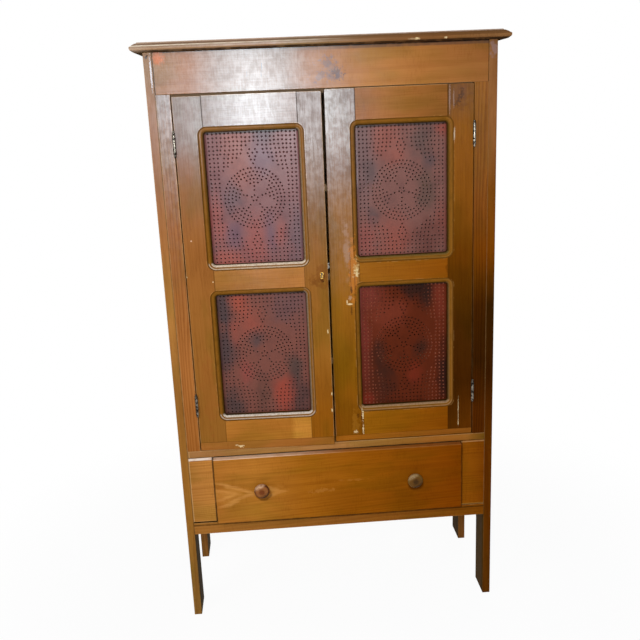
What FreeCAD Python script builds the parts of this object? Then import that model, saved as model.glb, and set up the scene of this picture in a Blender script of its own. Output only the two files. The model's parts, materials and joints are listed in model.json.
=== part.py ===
import FreeCAD, Part
import math
import os
import re
import Sketcher
from FreeCAD import Placement, Rotation, Vector

# A pie safe: a pine cupboard with two doors of punched tin over one wide drawer.
# Millimetres. +Z is up and the front looks along -Y. The origin is on the floor, under the middle.
# In the helpers below, y is counted back from the case's front plane.

doc = FreeCAD.newDocument("PieSafe")
sheet = doc.addObject("Spreadsheet::Sheet", "Dim")

dimensions = [
    ("frontY", -178.0, "the case's front plane, seen from the origin"),
    ("caseWidth", 890.0, "over both side boards"),
    ("caseDepth", 403.0, "front plane to the back of the case"),
    ("caseTop", 1591.0, "underside of the top board"),
    ("sideThick", 22.0, "side boards"),
    ("faceThick", 22.0, "frieze, face stiles and drawer blocks"),
    ("legDepth", 85.0, "each leg of a side board, front to back"),
    ("archTop", 252.0, "top of the cut-out between the legs"),
    ("archRadius", 48.0, "corners of that cut-out"),
    ("topThick", 23.5, "moulded top board"),
    ("topOverhang", 28.0, "top board past the sides"),
    ("topFront", 27.0, "top board past the front"),
    ("friezeBottom", 1489.5, "underside of the frieze"),
    ("dividerTop", 523.0, "rail under the doors"),
    ("dividerBottom", 502.0, "the same rail, underside"),
    ("dividerDepth", 60.0, "the same rail, front to back"),
    ("railTop", 300.0, "bottom rail"),
    ("railBottom", 264.0, "bottom rail, underside"),
    ("railDepth", 45.0, "bottom rail, front to back"),
    ("stileInner", 386.5, "centre line to the face stiles"),
    ("blockInner", 356.0, "centre line to the drawer blocks"),
    ("stub", 10.0, "stub tenons and housings"),
    ("rabbet", 11.0, "width of the rabbet for the back boards"),
    ("backThick", 14.0, "back boards"),
    ("boardThick", 18.0, "floor board and shelves"),
    ("shelfFront", 28.0, "front edge of the shelves"),
    ("shelfLow", 766.0, "upper face of the lower shelf"),
    ("shelfStep", 240.0, "from one shelf to the next"),
    ("cleat", 20.0, "shelf cleats, square"),
    ("stopBottom", 1478.0, "door stop behind the frieze"),
    ("stopTop", 1508.0, "door stop, upper edge"),
    ("stopThick", 12.0, "door stop"),
    ("doorThick", 21.5, "doors"),
    ("hingeEdge", 384.5, "centre line to each door's hinge edge"),
    ("openingWide", 240.0, "clear opening over each tin"),
    ("openingTall", 342.0, "clear opening over each tin"),
    ("openingPitch", 426.0, "from the lower opening to the upper one"),
    ("openingCorner", 7.0, "corner radius of the opening"),
    ("stepWide", 15.0, "width of the routed moulding"),
    ("stepDeep", 3.0, "its step below the door's face"),
    ("roundover", 10.0, "its rounded edge"),
    ("tinFront", 18.0, "depth of the tins behind the doors' faces"),
    ("tinWide", 254.0, "tin sheets"),
    ("tinTall", 356.0, "tin sheets"),
    ("tinThick", 0.6, "tin sheets"),
    ("tenonFront", 7.0, "front cheek of the doors' tenons"),
    ("tenonThick", 8.0, "doors' tenons"),
    ("tenonLong", 28.0, "doors' tenons"),
    ("leftFree", -9.0, "left door's meeting edge"),
    ("leftFoot", 524.2, "left door's lower edge"),
    ("leftStrip", 547.7, "joint over the left door's added strip"),
    ("leftHead", 1483.5, "left door's upper edge"),
    ("leftMiddle", -191.2, "middle of the left openings"),
    ("leftSill", 624.5, "bottom of the left lower opening"),
    ("leftAjar", 2.4, "degrees by which the left door stands open"),
    ("rightFreeLow", -4.0, "right door's meeting edge, at the foot"),
    ("rightFreeHigh", -0.5, "right door's meeting edge, at the head"),
    ("rightFoot", 525.5, "right door's lower edge"),
    ("rightStrip", 542.0, "joint over the right door's added strip"),
    ("rightHead", 1487.2, "right door's upper edge"),
    ("rightMiddle", 197.0, "middle of the right openings"),
    ("rightSill", 625.5, "bottom of the right lower opening"),
    ("pinX", 385.5, "hinge pins, from the centre line"),
    ("pinY", -4.3, "hinge pins, from the front plane"),
    ("pinRadius", 2.0, "hinge pins"),
    ("pinPlay", 0.05, "clearance round the pins"),
    ("barrelRadius", 4.0, "hinge barrels"),
    ("leafTall", 56.0, "hinge leaves"),
    ("leafThick", 1.6, "hinge leaves"),
    ("leafNear", 0.35, "leaf face to the pin's centre plane"),
    ("leafDeep", 20.0, "hinge leaves, back from the front plane"),
    ("leftHingeLow", 660.0, "middle of the left lower hinge"),
    ("leftHingeHigh", 1367.0, "middle of the left upper hinge"),
    ("rightHingeLow", 655.0, "middle of the right lower hinge"),
    ("rightHingeHigh", 1361.0, "middle of the right upper hinge"),
    ("boltZ", 1034.0, "middle of the lock's bolt"),
    ("boltFront", 10.0, "front face of the lock's bolt"),
    ("boltThick", 4.0, "the lock's bolt"),
    ("boltTall", 15.0, "the lock's bolt"),
    ("boltTip", -4.2, "the bolt's end when drawn back"),
    ("boltPlay", 0.4, "clearance round the lock's bolt"),
    ("keyX", -25.5, "keyhole"),
    ("keyZ", 1015.0, "round part of the keyhole"),
    ("keyRadius", 3.2, "round part of the keyhole"),
    ("catchX", 32.5, "small bolt inside the right door"),
    ("catchY", 28.0, "the same bolt, back from the front plane"),
    ("catchRadius", 4.0, "the same bolt"),
    ("catchLow", 1396.0, "its lower end when drawn back"),
    ("catchHigh", 1474.0, "its upper end when drawn back"),
    ("drawerHalf", 353.8, "half of the drawer's front"),
    ("drawerFoot", 301.5, "drawer's lower edge"),
    ("drawerHead", 500.0, "upper edge of the drawer's front"),
    ("drawerProud", 17.0, "how far the drawer stands out"),
    ("frontThick", 20.0, "drawer's front"),
    ("drawerLong", 340.0, "drawer, behind its front"),
    ("drawerSide", 12.0, "drawer's sides and back"),
    ("drawerSideTop", 476.0, "upper edge of the drawer's sides"),
    ("drawerBottomZ", 312.0, "groove for the drawer's bottom"),
    ("drawerBottomThick", 8.0, "drawer's bottom"),
    ("groove", 5.0, "grooves for the drawer's bottom"),
    ("knobLeftX", -221.0, "left knob"),
    ("knobRightX", 215.0, "right knob"),
    ("knobZ", 406.0, "both knobs"),
    ("knobReach", 30.0, "knobs, out from the drawer's front"),
    ("knobRadius", 21.5, "knobs"),
]
for rowNumber, (alias, value, note) in enumerate(dimensions, 1):
    sheet.set(f"A{rowNumber}", note)
    sheet.set(f"B{rowNumber}", str(value))
    sheet.setAlias(f"B{rowNumber}", alias)
doc.recompute()
size = {alias: value for alias, value, note in dimensions}
pieces = []


# ---------------------------------------------------------------- helpers

def expression(text):
    """Put the sheet's name before each of its words."""
    return re.sub(r"[A-Za-z]\w*", lambda found: "Dim." + found.group(0), text)


def bind(thing, prop, text):
    thing.setExpression(prop, expression(text))


def box(label, xs, ys, zs):
    """A block between two ends each way, with y counted from the front plane."""
    block = doc.addObject("Part::Box", label)
    ys = tuple(f"frontY + ({y})" for y in ys)
    for axis, side, (start, end) in zip("xyz", ("Length", "Width", "Height"), (xs, ys, zs)):
        bind(block, "Placement.Base." + axis, start)
        bind(block, side, f"{end} - ({start})")
    return block


def cylinder(label, start, along, radius, length):
    """A round bar from its start, along a direction."""
    bar = doc.addObject("Part::Cylinder", label)
    bar.Placement = Placement(Vector(), Rotation(Vector(0, 0, 1), Vector(*along)))
    bind(bar, "Placement.Base.x", start[0])
    bind(bar, "Placement.Base.y", f"frontY + ({start[1]})")
    bind(bar, "Placement.Base.z", start[2])
    bind(bar, "Radius", radius)
    bind(bar, "Height", length)
    return bar


def group(label, parts):
    bundle = doc.addObject("Part::Compound", label)
    bundle.Links = parts
    return bundle


def cut(label, base, *tools):
    result = doc.addObject("Part::Cut", label)
    result.Base = base
    result.Tool = tools[0] if len(tools) == 1 else group(label + "_tools", list(tools))
    return result


def fuse(label, *parts):
    result = doc.addObject("Part::MultiFuse", label)
    result.Shapes = list(parts)
    result.Refine = True
    return result


def common(label, first, second):
    result = doc.addObject("Part::Common", label)
    result.Base = first
    result.Tool = second
    return result


def copies(label, master, places):
    """Separate copies of one small piece, such as a screw."""
    result = doc.addObject("Part::Feature", label)
    shapes = []
    for place in places:
        shape = master.copy()
        shape.Placement = place
        shapes.append(shape)
    result.Shape = Part.makeCompound(shapes)
    return result


def piece(thing):
    """Note a finished sub-part, which is written out under its Label."""
    pieces.append(thing)
    return thing


def sideRange(side, near, far):
    """x range between two distances from the centre line, left (-1) or right (+1)."""
    if side < 0:
        return f"-({far})", f"-({near})"
    return near, far


def planeOf(body, role):
    return next(plane for plane in body.Origin.OriginFeatures if plane.Role == role)


def outlineSketch(body, name, role, *outlines):
    """Closed outlines on one of the body's origin planes, with each corner bound to the sheet."""
    sketch = body.newObject("Sketcher::SketchObject", name)
    sketch.AttachmentSupport = [(planeOf(body, role), "")]
    sketch.MapMode = "FlatFace"
    for corners in outlines:
        addOutline(sketch, corners)
    return sketch


def addOutline(sketch, corners):
    first = sketch.GeometryCount
    count = len(corners)
    turn = 2 * math.pi / count
    rough = [Vector(math.cos(turn * i), math.sin(turn * i), 0) for i in range(count)]
    for i in range(count):
        sketch.addGeometry(Part.LineSegment(rough[i], rough[(i + 1) % count]), False)
    for i in range(count):
        following = first + (i + 1) % count
        sketch.addConstraint(Sketcher.Constraint("Coincident", first + i, 2, following, 1))
    for i, corner in enumerate(corners):
        for kind, text in zip(("DistanceX", "DistanceY"), corner):
            number = sketch.addConstraint(Sketcher.Constraint(kind, -1, 1, first + i, 1, 1.0))
            bind(sketch, f"Constraints[{number}]", text)


def rectangle(left, right, low, high):
    return [(left, low), (right, low), (right, high), (left, high)]


def pad(body, sketch, length, reverse=False):
    feature = body.newObject("PartDesign::Pad", sketch.Name + "_pad")
    feature.Profile = sketch
    feature.Reversed = reverse
    bind(feature, "Length", length)
    doc.recompute()
    return feature


def pocket(body, sketch, depth=None):
    """Cut the sketch's outlines that deep, or right through."""
    feature = body.newObject("PartDesign::Pocket", sketch.Name + "_pocket")
    feature.Profile = sketch
    if depth is None:
        feature.Type = "ThroughAll"
    else:
        bind(feature, "Length", depth)
    doc.recompute()
    return feature


def roundEdges(body, base, radius, wanted):
    """Fillet those edges of the body's last feature that the test picks."""
    names = [f"Edge{i}" for i, edge in enumerate(base.Shape.Edges, 1) if wanted(edge)]
    feature = body.newObject("PartDesign::Fillet", f"{base.Name}_round")
    feature.Base = (base, names)
    bind(feature, "Radius", radius)
    doc.recompute()
    return feature


def runsAlong(edge, axis):
    """True for a straight edge along 0 = x, 1 = y or 2 = z."""
    if not isinstance(edge.Curve, Part.Line):
        return False
    return abs(abs(edge.Curve.Direction[axis]) - 1) < 1e-6


# ---------------------------------------------------------------- case

sides = (("left", -1), ("right", 1))
inside = "(caseWidth / 2 - sideThick)"
backFace = "caseDepth - backThick"
wallToWall = (f"-{inside}", inside)
stubToStub = (f"-{inside} - stub", f"{inside} + stub")


def sideBoard(label, side):
    """A full-height board whose lower end is cut out between two legs."""
    body = doc.addObject("PartDesign::Body", label + "_board")
    outline = outlineSketch(body, label + "_outline", "YZ_Plane", [
        ("0", "0"), ("legDepth", "0"), ("legDepth", "archTop"),
        ("caseDepth - legDepth", "archTop"), ("caseDepth - legDepth", "0"),
        ("caseDepth", "0"), ("caseDepth", "caseTop"), ("0", "caseTop")])
    board = pad(body, outline, "sideThick")

    def archCorner(edge):
        middle = edge.CenterOfMass
        between = size["legDepth"] - 1 < middle.y < size["caseDepth"] - size["legDepth"] + 1
        return runsAlong(edge, 0) and between and abs(middle.z - size["archTop"]) < 1
    roundEdges(body, board, "archRadius", archCorner)
    bind(body, "Placement.Base.x", sideRange(side, inside, "caseWidth / 2")[0])
    bind(body, "Placement.Base.y", "frontY")

    def housing(name, depth, ys, zs):
        return box(f"{label}_{name}", sideRange(side, inside, f"{inside} + {depth}"), ys, zs)
    return piece(cut(
        label, body,
        housing("back_rabbet", "rabbet", (backFace, "caseDepth"), ("railBottom", "caseTop")),
        housing("floor_housing", "stub", ("dividerDepth", backFace),
                ("dividerTop - boardThick", "dividerTop")),
        housing("frieze_mortise", "stub", ("7", "15"), ("friezeBottom + 12", "caseTop - 12")),
        housing("divider_mortise", "stub", ("12", "dividerDepth - 12"),
                ("dividerBottom + 5", "dividerTop - 5")),
        housing("rail_mortise", "stub", ("10", "railDepth - 10"), ("railBottom + 5", "railTop - 5")),
        housing("back_mortise", "stub", (f"{backFace} - 14", f"{backFace} - 4"),
                ("railBottom + 5", "railBottom + 61"))))


for sideName, side in sides:
    sideBoard("side_board_" + sideName, side)


def topBoard():
    """A board with a moulded front and ends, whose mouldings meet in mitres."""
    profile = [(-8.0, 0.0), (-1.6, 4.7), (0.0, 7.2), (0.0, 11.8), (-1.8, 13.9), (-3.4, 14.3),
               (-7.0, 17.3), (-12.6, 20.5), (-16.0, 21.3), (-17.4, size["topThick"])]
    reach = size["caseWidth"] / 2 + size["topOverhang"]
    base = size["caseTop"]
    front = size["frontY"] - size["topFront"]
    back = size["frontY"] + size["caseDepth"]
    right = [Vector(reach + out, front, base + up) for out, up in profile]
    left = [Vector(-corner.x, front, corner.z) for corner in reversed(right)]
    ends = Part.Face(Part.makePolygon(right + left + right[:1]))
    nose = [Vector(-reach, front - out, base + up) for out, up in profile]
    rear = [Vector(-reach, back, base + size["topThick"]), Vector(-reach, back, base)]
    fronts = Part.Face(Part.makePolygon(nose + rear + nose[:1]))
    board = doc.addObject("Part::Feature", "top_board")
    board.Shape = ends.extrude(Vector(0, back - front, 0)).common(
        fronts.extrude(Vector(2 * reach, 0, 0)))
    return piece(board)


topBoard()

stileStubs = [
    box(f"face_stile_{sideName}_stubs", sideRange(side, "stileInner + 8", f"{inside} - 8"),
        ("7", "15"), ("dividerTop - stub", "friezeBottom + stub"))
    for sideName, side in sides]
friezeBlank = fuse(
    "frieze_blank",
    box("frieze_board", wallToWall, ("0", "faceThick"), ("friezeBottom", "caseTop")),
    box("frieze_stubs", stubToStub, ("7", "15"), ("friezeBottom + 12", "caseTop - 12")))
piece(cut("frieze_rail", friezeBlank, *stileStubs))
dividerBlank = fuse(
    "divider_blank",
    box("divider_board", wallToWall, ("0", "dividerDepth"), ("dividerBottom", "dividerTop")),
    box("divider_stubs", stubToStub, ("12", "dividerDepth - 12"),
        ("dividerBottom + 5", "dividerTop - 5")))
piece(cut("divider_rail", dividerBlank, *stileStubs))

runnerBack = f"{backFace} - 18"
runnerStubs = [
    box(f"runner_{sideName}_stubs", sideRange(side, "drawerHalf - 14", "drawerHalf + 10"),
        ("railDepth - 8", f"{runnerBack} + 8"), ("railTop - 21", "railTop - 3"))
    for sideName, side in sides]
railBlank = fuse(
    "rail_blank",
    box("rail_board", wallToWall, ("0", "railDepth"), ("railBottom", "railTop")),
    box("rail_stubs", stubToStub, ("10", "railDepth - 10"), ("railBottom + 5", "railTop - 5")))
piece(cut("bottom_rail", railBlank, *runnerStubs))
backRailBlank = fuse(
    "back_rail_blank",
    box("back_rail_board", wallToWall, (runnerBack, backFace), ("railBottom", "railBottom + 66")),
    box("back_rail_stubs", stubToStub, (f"{backFace} - 14", f"{backFace} - 4"),
        ("railBottom + 5", "railBottom + 61")))
piece(cut("back_rail", backRailBlank, *runnerStubs))

for (sideName, side), stubs, gap in zip(sides, runnerStubs, ("3.5", "0.8")):
    piece(box(f"drawer_block_{sideName}", sideRange(side, "blockInner", inside),
              ("0", "faceThick"), (f"railTop + {gap}", "dividerBottom")))
    runner = fuse(
        f"runner_{sideName}",
        box(f"runner_{sideName}_base", sideRange(side, "drawerHalf - 22", "drawerHalf + 18"),
            ("railDepth", runnerBack), ("railTop - 25", "drawerFoot - 0.3")),
        box(f"runner_{sideName}_guide", sideRange(side, "drawerHalf - 0.5", "drawerHalf + 18"),
            ("railDepth", runnerBack), ("railTop - 25", "drawerFoot + 17")),
        stubs)
    kicker = box(f"kicker_{sideName}", sideRange(side, "drawerHalf - 20", "drawerHalf + 1"),
                 ("dividerDepth", runnerBack), ("drawerSideTop + 2", "dividerTop - boardThick"))
    piece(group(f"drawer_runner_{sideName}", [runner, kicker]))

piece(box("compartment_floor", stubToStub, ("dividerDepth", backFace),
          ("dividerTop - boardThick", "dividerTop")))
shelfTops = [("lower", "shelfLow"), ("middle", "shelfLow + shelfStep"),
             ("upper", "shelfLow + 2 * shelfStep")]
for shelfName, top in shelfTops:
    piece(box("shelf_" + shelfName, (f"-{inside} + 0.5", f"{inside} - 0.5"),
              ("shelfFront", f"{backFace} - 0.5"), (f"{top} - boardThick", top)))
for sideName, side in sides:
    piece(group(f"shelf_cleats_{sideName}", [
        box(f"cleat_{sideName}_{shelfName}", sideRange(side, f"{inside} - cleat", inside),
            ("shelfFront + 4", f"{backFace} - 20"),
            (f"{top} - boardThick - cleat", f"{top} - boardThick"))
        for shelfName, top in shelfTops]))

backNames = ("left", "middle", "right")
backWide = f"(2 * ({inside} + rabbet) / 3)"
for i, backName in enumerate(backNames):
    start = f"-{inside} - rabbet + {i} * {backWide}"
    zs = ("railBottom", "caseTop")
    tongueYs = (f"{backFace} + 4.5", f"{backFace} + 9.5")
    board = box(f"back_{backName}_board", (start, f"{start} + {backWide} - 0.5"),
                (backFace, "caseDepth"), zs)
    if i < 2:
        tongue = box(f"back_{backName}_tongue", (start, f"{start} + {backWide} + 4.5"), tongueYs, zs)
        board = fuse(f"back_{backName}_tongued", board, tongue)
    if i > 0:
        groove = box(f"back_{backName}_groove", (f"{start} - 1", f"{start} + 5"),
                     tongueYs, ("railBottom - 1", "caseTop + 1"))
        board = cut(f"back_{backName}_grooved", board, groove)
    board.Label = f"back_board_{backName}"
    piece(board)

catchHole = cylinder("catch_hole", ("catchX", "catchY", "stopBottom - 1"), (0, 0, 1),
                     "catchRadius + 0.6", "stopTop - stopBottom + 2")
stopStrip = box("stop_strip", ("-stileInner - 6", "stileInner + 6"),
                ("faceThick", "faceThick + stopThick"), ("stopBottom", "stopTop"))
piece(cut("door_stop", stopStrip, catchHole))


# ---------------------------------------------------------------- small fasteners

def shiftTo(x, y, z, turn=Rotation()):
    """A place given from the front plane."""
    return Placement(Vector(x, size["frontY"] + y, z), turn)


def nail():
    """A nail with its head at the top, pointing down."""
    head = Part.makeCylinder(1.9, 1.2, Vector(0, 0, -1.2))
    return head.fuse(Part.makeCylinder(1.0, 42.0, Vector(0, 0, -43.2))).removeSplitter()


def screw():
    """A countersunk screw with its head at the origin, pointing along +X."""
    head = Part.makeCone(2.9, 1.4, 1.5, Vector(), Vector(1, 0, 0))
    shank = Part.makeCylinder(1.4, 12.5, Vector(1.5, 0, 0), Vector(1, 0, 0))
    return head.fuse(shank).removeSplitter()


def tack():
    """A flat-headed tack with the underside of its head at the origin, pointing along -Y."""
    head = Part.makeCylinder(2.8, 0.8, Vector(), Vector(0, 1, 0))
    shank = Part.makeCylinder(0.8, 7.0, Vector(0, -7.0, 0), Vector(0, 1, 0))
    return head.fuse(shank).removeSplitter()


def caseNails():
    edgeX = (size["caseWidth"] - size["sideThick"]) / 2
    top = size["caseTop"] + size["topThick"]
    down = [shiftTo(x, y, top) for x in (-edgeX, edgeX) for y in (45, 150, 255, 360)]
    down += [shiftTo(x, 11, top) for x in (-320, -110, 110, 320)]
    forward = Rotation(Vector(1, 0, 0), -90)
    rear = size["caseDepth"]
    railZ = size["railBottom"] + 33
    backX = size["caseWidth"] / 2 - size["sideThick"] + size["rabbet"] / 2
    back = [shiftTo(x, rear, z, forward) for x in (-backX, backX) for z in (340, 620, 900, 1180, 1460)]
    back += [shiftTo(x, rear, z, forward)
             for x in (-350, -215, -75, 75, 215, 350)
             for z in (railZ, size["shelfLow"] - 9, size["shelfLow"] + size["shelfStep"] - 9)]
    inward = Rotation(Vector(1, 0, 0), 90)
    face = [shiftTo(-edgeX, 0, size["caseTop"] - 8, inward)]
    return copies("case_nails", nail(), down + back + face)


piece(caseNails())


# ---------------------------------------------------------------- hinges

hingeHeights = {-1: ("leftHingeLow", "leftHingeHigh"), 1: ("rightHingeLow", "rightHingeHigh")}
knuckleCount = 5


def leaf(label, side, middle, onCase):
    """One leaf of a butt hinge with its share of the knuckles."""
    if onCase:
        xs = sideRange(side, "pinX + leafNear", "pinX + leafNear + leafThick")
    else:
        xs = sideRange(side, "pinX - leafNear - leafThick", "pinX - leafNear")
    pinAt = sideRange(side, "pinX", "pinX")[0]
    plateFront = "pinY + barrelRadius + 0.4"
    low = f"{middle} - leafTall / 2"
    parts = [box(label + "_plate", xs, (plateFront, "leafDeep"), (low, f"{low} + leafTall"))]
    for i in range(0 if onCase else 1, knuckleCount, 2):
        start = f"{low} + {i} * leafTall / {knuckleCount} + 0.1"
        tall = f"leafTall / {knuckleCount} - 0.2"
        parts.append(box(f"{label}_tab{i}", xs, ("pinY", f"{plateFront} + 0.5"),
                         (start, f"{start} + {tall}")))
        parts.append(cylinder(f"{label}_knuckle{i}", (pinAt, "pinY", start), (0, 0, 1),
                              "barrelRadius", tall))
    bore = cylinder(label + "_bore", (pinAt, "pinY", f"{low} - 1"), (0, 0, 1),
                    "pinRadius + pinPlay", "leafTall + 2")
    return cut(label, fuse(label + "_solid", *parts), bore)


def pin(label, side, middle):
    """A pin with a ball at each end."""
    pinAt = sideRange(side, "pinX", "pinX")[0]
    parts = [cylinder(label + "_shaft", (pinAt, "pinY", f"{middle} - leafTall / 2 - 1"), (0, 0, 1),
                      "pinRadius", "leafTall + 2")]
    for end, offset in (("low", "- leafTall / 2 - 3.2"), ("high", "+ leafTall / 2 + 3.2")):
        ball = doc.addObject("Part::Sphere", f"{label}_{end}")
        ball.Radius = 3.1
        bind(ball, "Placement.Base.x", pinAt)
        bind(ball, "Placement.Base.y", "frontY + pinY")
        bind(ball, "Placement.Base.z", f"{middle} {offset}")
        parts.append(ball)
    return fuse(label, *parts)


def screwPlaces(side, onCase):
    """Three screws in each of a side's two leaves, from the face that the other leaf meets."""
    near = size["leafNear"] if onCase else -size["leafNear"]
    outwards = (side > 0) == onCase
    turn = Rotation() if outwards else Rotation(Vector(0, 0, 1), 180)
    return [shiftTo(side * (size["pinX"] + near), y, size[middle] + up, turn)
            for middle in hingeHeights[side]
            for y, up in ((7.5, -18), (13.5, 0), (7.5, 18))]


def gain(label, side, middle, onCase):
    """The shallow recess that a leaf lies in."""
    if onCase:
        xs = sideRange(side, "stileInner - 1", "pinX + leafNear + leafThick")
    else:
        xs = sideRange(side, "pinX - leafNear - leafThick", "hingeEdge + 1")
    return box(label, xs, ("-1", "leafDeep"), (f"{middle} - leafTall / 2", f"{middle} + leafTall / 2"))


caseScrews = piece(copies("case_hinge_screws", screw(), screwPlaces(-1, True) + screwPlaces(1, True)))
caseLeaves = []
pins = []
for (sideName, side), stubs in zip(sides, stileStubs):
    gains = []
    for height, middle in zip(("low", "high"), hingeHeights[side]):
        blank = leaf(f"case_leaf_{sideName}_{height}", side, middle, True)
        caseLeaves.append(cut(f"case_leaf_{sideName}_{height}_drilled", blank, caseScrews))
        pins.append(pin(f"pin_{sideName}_{height}", side, middle))
        gains.append(gain(f"face_stile_{sideName}_gain_{height}", side, middle, True))
    strip = box(f"face_stile_{sideName}_board", sideRange(side, "stileInner", inside),
                ("0", "faceThick"), ("dividerTop", "friezeBottom"))
    blank = fuse(f"face_stile_{sideName}_blank", strip, stubs)
    hollowed = cut(f"face_stile_{sideName}_hollowed", blank, *gains)
    piece(cut(f"face_stile_{sideName}", hollowed, caseScrews))
piece(group("case_hinge_leaves", caseLeaves))
piece(group("hinge_pins", pins))


# ---------------------------------------------------------------- punched tins

def dotRing(radius, count, turned=0.0):
    """Dots evenly round a circle."""
    step = 2 * math.pi / count
    return [(radius * math.sin(step * (i + turned)), radius * math.cos(step * (i + turned)))
            for i in range(count)]


def tinPattern(upright):
    """Dots of a five-pointed star in a ring, in a field of dots with a plain border round the ring.

    Each dot is x, z from the middle of the sheet."""
    columns, rows = 22, 33
    pitchX, pitchZ = 10.45, 10.35
    clearRadius = 101.0
    diamondZ = 107.0
    dots = []
    for row in range(rows):
        for column in range(columns):
            x = (column - (columns - 1) / 2) * pitchX
            z = (row - (rows - 1) / 2) * pitchZ
            border = min(column, columns - 1 - column, row, rows - 1 - row) < 3
            byDiamond = math.hypot(x / 29.0, (abs(z) - diamondZ) / 40.0) < 1
            if border or not (math.hypot(x, z) < clearRadius or byDiamond):
                dots.append((x, z))
    for middle in (-diamondZ, diamondZ):
        for up, places in ((-26, (0,)), (-17.5, (-4, 4)), (-8.5, (-9, 9)), (0, (-11.5, 0, 11.5)),
                           (8.5, (-9, 9)), (17.5, (-4, 4)), (26, (0,))):
            dots += [(x, middle + up) for x in places]
    dots += dotRing(78.0, 46) + dotRing(67.5, 40, 0.5) + dotRing(57.0, 34)
    star = dotRing(11.0, 5, 0.5)
    star.append((0.0, 0.0))
    for wedge in range(5):
        middle = 2 * math.pi * (wedge + 0.5) / 5
        for radius, spread in ((21.0, (0,)), (30.5, (-4.5, 4.5)), (40.0, (-10, 0, 10)),
                               (49.0, (-15.5, -5, 5, 15.5))):
            for across in spread:
                angle = middle + across / radius
                star.append((radius * math.sin(angle), radius * math.cos(angle)))
    flip = 1 if upright else -1
    return dots + [(x, flip * z) for x, z in star]


def tin(label, middle, centreZ, upright):
    """A thin sheet with a small square hole at each dot, its corners up and down."""
    half = 1.2
    wide, tall = size["tinWide"] / 2, size["tinTall"] / 2
    front = size["frontY"] + size["tinFront"]

    def at(x, z):
        return Vector(middle + x, front, centreZ + z)
    outline = [at(-wide, -tall), at(wide, -tall), at(wide, tall), at(-wide, tall), at(-wide, -tall)]
    wires = [Part.makePolygon(outline)]
    for x, z in tinPattern(upright):
        hole = [at(x - half, z), at(x, z + half), at(x + half, z), at(x, z - half), at(x - half, z)]
        wires.append(Part.makePolygon(hole))
    sheetOfTin = doc.addObject("Part::Feature", label)
    sheetOfTin.Shape = Part.Face(wires).extrude(Vector(0, size["tinThick"], 0))
    return piece(sheetOfTin)


def tackPlaces(middle, centreZ):
    """Round the edge of one tin, just outside its opening."""
    aside = size["openingWide"] / 2 + 3.6
    above = size["openingTall"] / 2 + 3.6
    behind = size["tinFront"] + size["tinThick"]
    places = [(x, z) for x in (-aside, aside) for z in (-150, -90, -30, 30, 90, 150)]
    places += [(x, z) for z in (-above, above) for x in (-90, -30, 30, 90)]
    return [shiftTo(middle + x, behind, centreZ + z) for x, z in places]


# ---------------------------------------------------------------- doors

def doorFrame(name, side, free):
    """The whole frame of a door, routed round its two openings, before it is parted."""
    body = doc.addObject("PartDesign::Body", name + "_door_board")
    foot, head, sill, middle = (name + word for word in ("Foot", "Head", "Sill", "Middle"))
    hinge = sideRange(side, "hingeEdge", "hingeEdge")[0]
    slab = pad(body, outlineSketch(body, name + "_slab", "XZ_Plane", [
        (hinge, foot), (free[0], foot), (free[1], head), (hinge, head)]), "doorThick", True)

    def openings(grow):
        return [rectangle(f"{middle} - openingWide / 2 - {grow}", f"{middle} + openingWide / 2 + {grow}",
                          f"{low} - {grow}", f"{low} + openingTall + {grow}")
                for low in (sill, f"{sill} + openingPitch")]
    step = pocket(body, outlineSketch(body, name + "_step", "XZ_Plane", *openings("stepWide")),
                  "stepDeep")
    step = roundEdges(body, step, "openingCorner + stepWide",
                      lambda edge: runsAlong(edge, 1) and abs(edge.Length - size["stepDeep"]) < 0.01)
    hole = pocket(body, outlineSketch(body, name + "_opening", "XZ_Plane", *openings("0")))
    through = size["doorThick"] - size["stepDeep"]
    hole = roundEdges(body, hole, "openingCorner",
                      lambda edge: runsAlong(edge, 1) and abs(edge.Length - through) < 0.01)

    def openingArris(edge):
        span = edge.BoundBox
        onStep = span.YLength < 0.01 and abs(span.YMin - size["stepDeep"]) < 0.01
        return onStep and abs(span.Center.x - size[middle]) < size["openingWide"] / 2 + 0.1 and any(
            abs(span.Center.z - size[sill] - size["openingTall"] / 2 - up) < size["openingTall"] / 2 + 0.1
            for up in (0, size["openingPitch"]))
    roundEdges(body, hole, "roundover", openingArris)
    bind(body, "Placement.Base.y", "frontY")
    lap = "((tinTall - openingTall) / 2 + 0.5)"
    rabbets = [box(f"{name}_rabbet{i}",
                   (f"{middle} - tinWide / 2 - 0.5", f"{middle} + tinWide / 2 + 0.5"),
                   ("tinFront", "doorThick + 1"),
                   (f"{low} - {lap}", f"{low} + openingTall + {lap}"))
               for i, low in enumerate((sill, f"{sill} + openingPitch"))]
    return cut(name + "_frame", body, *rabbets)


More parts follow.
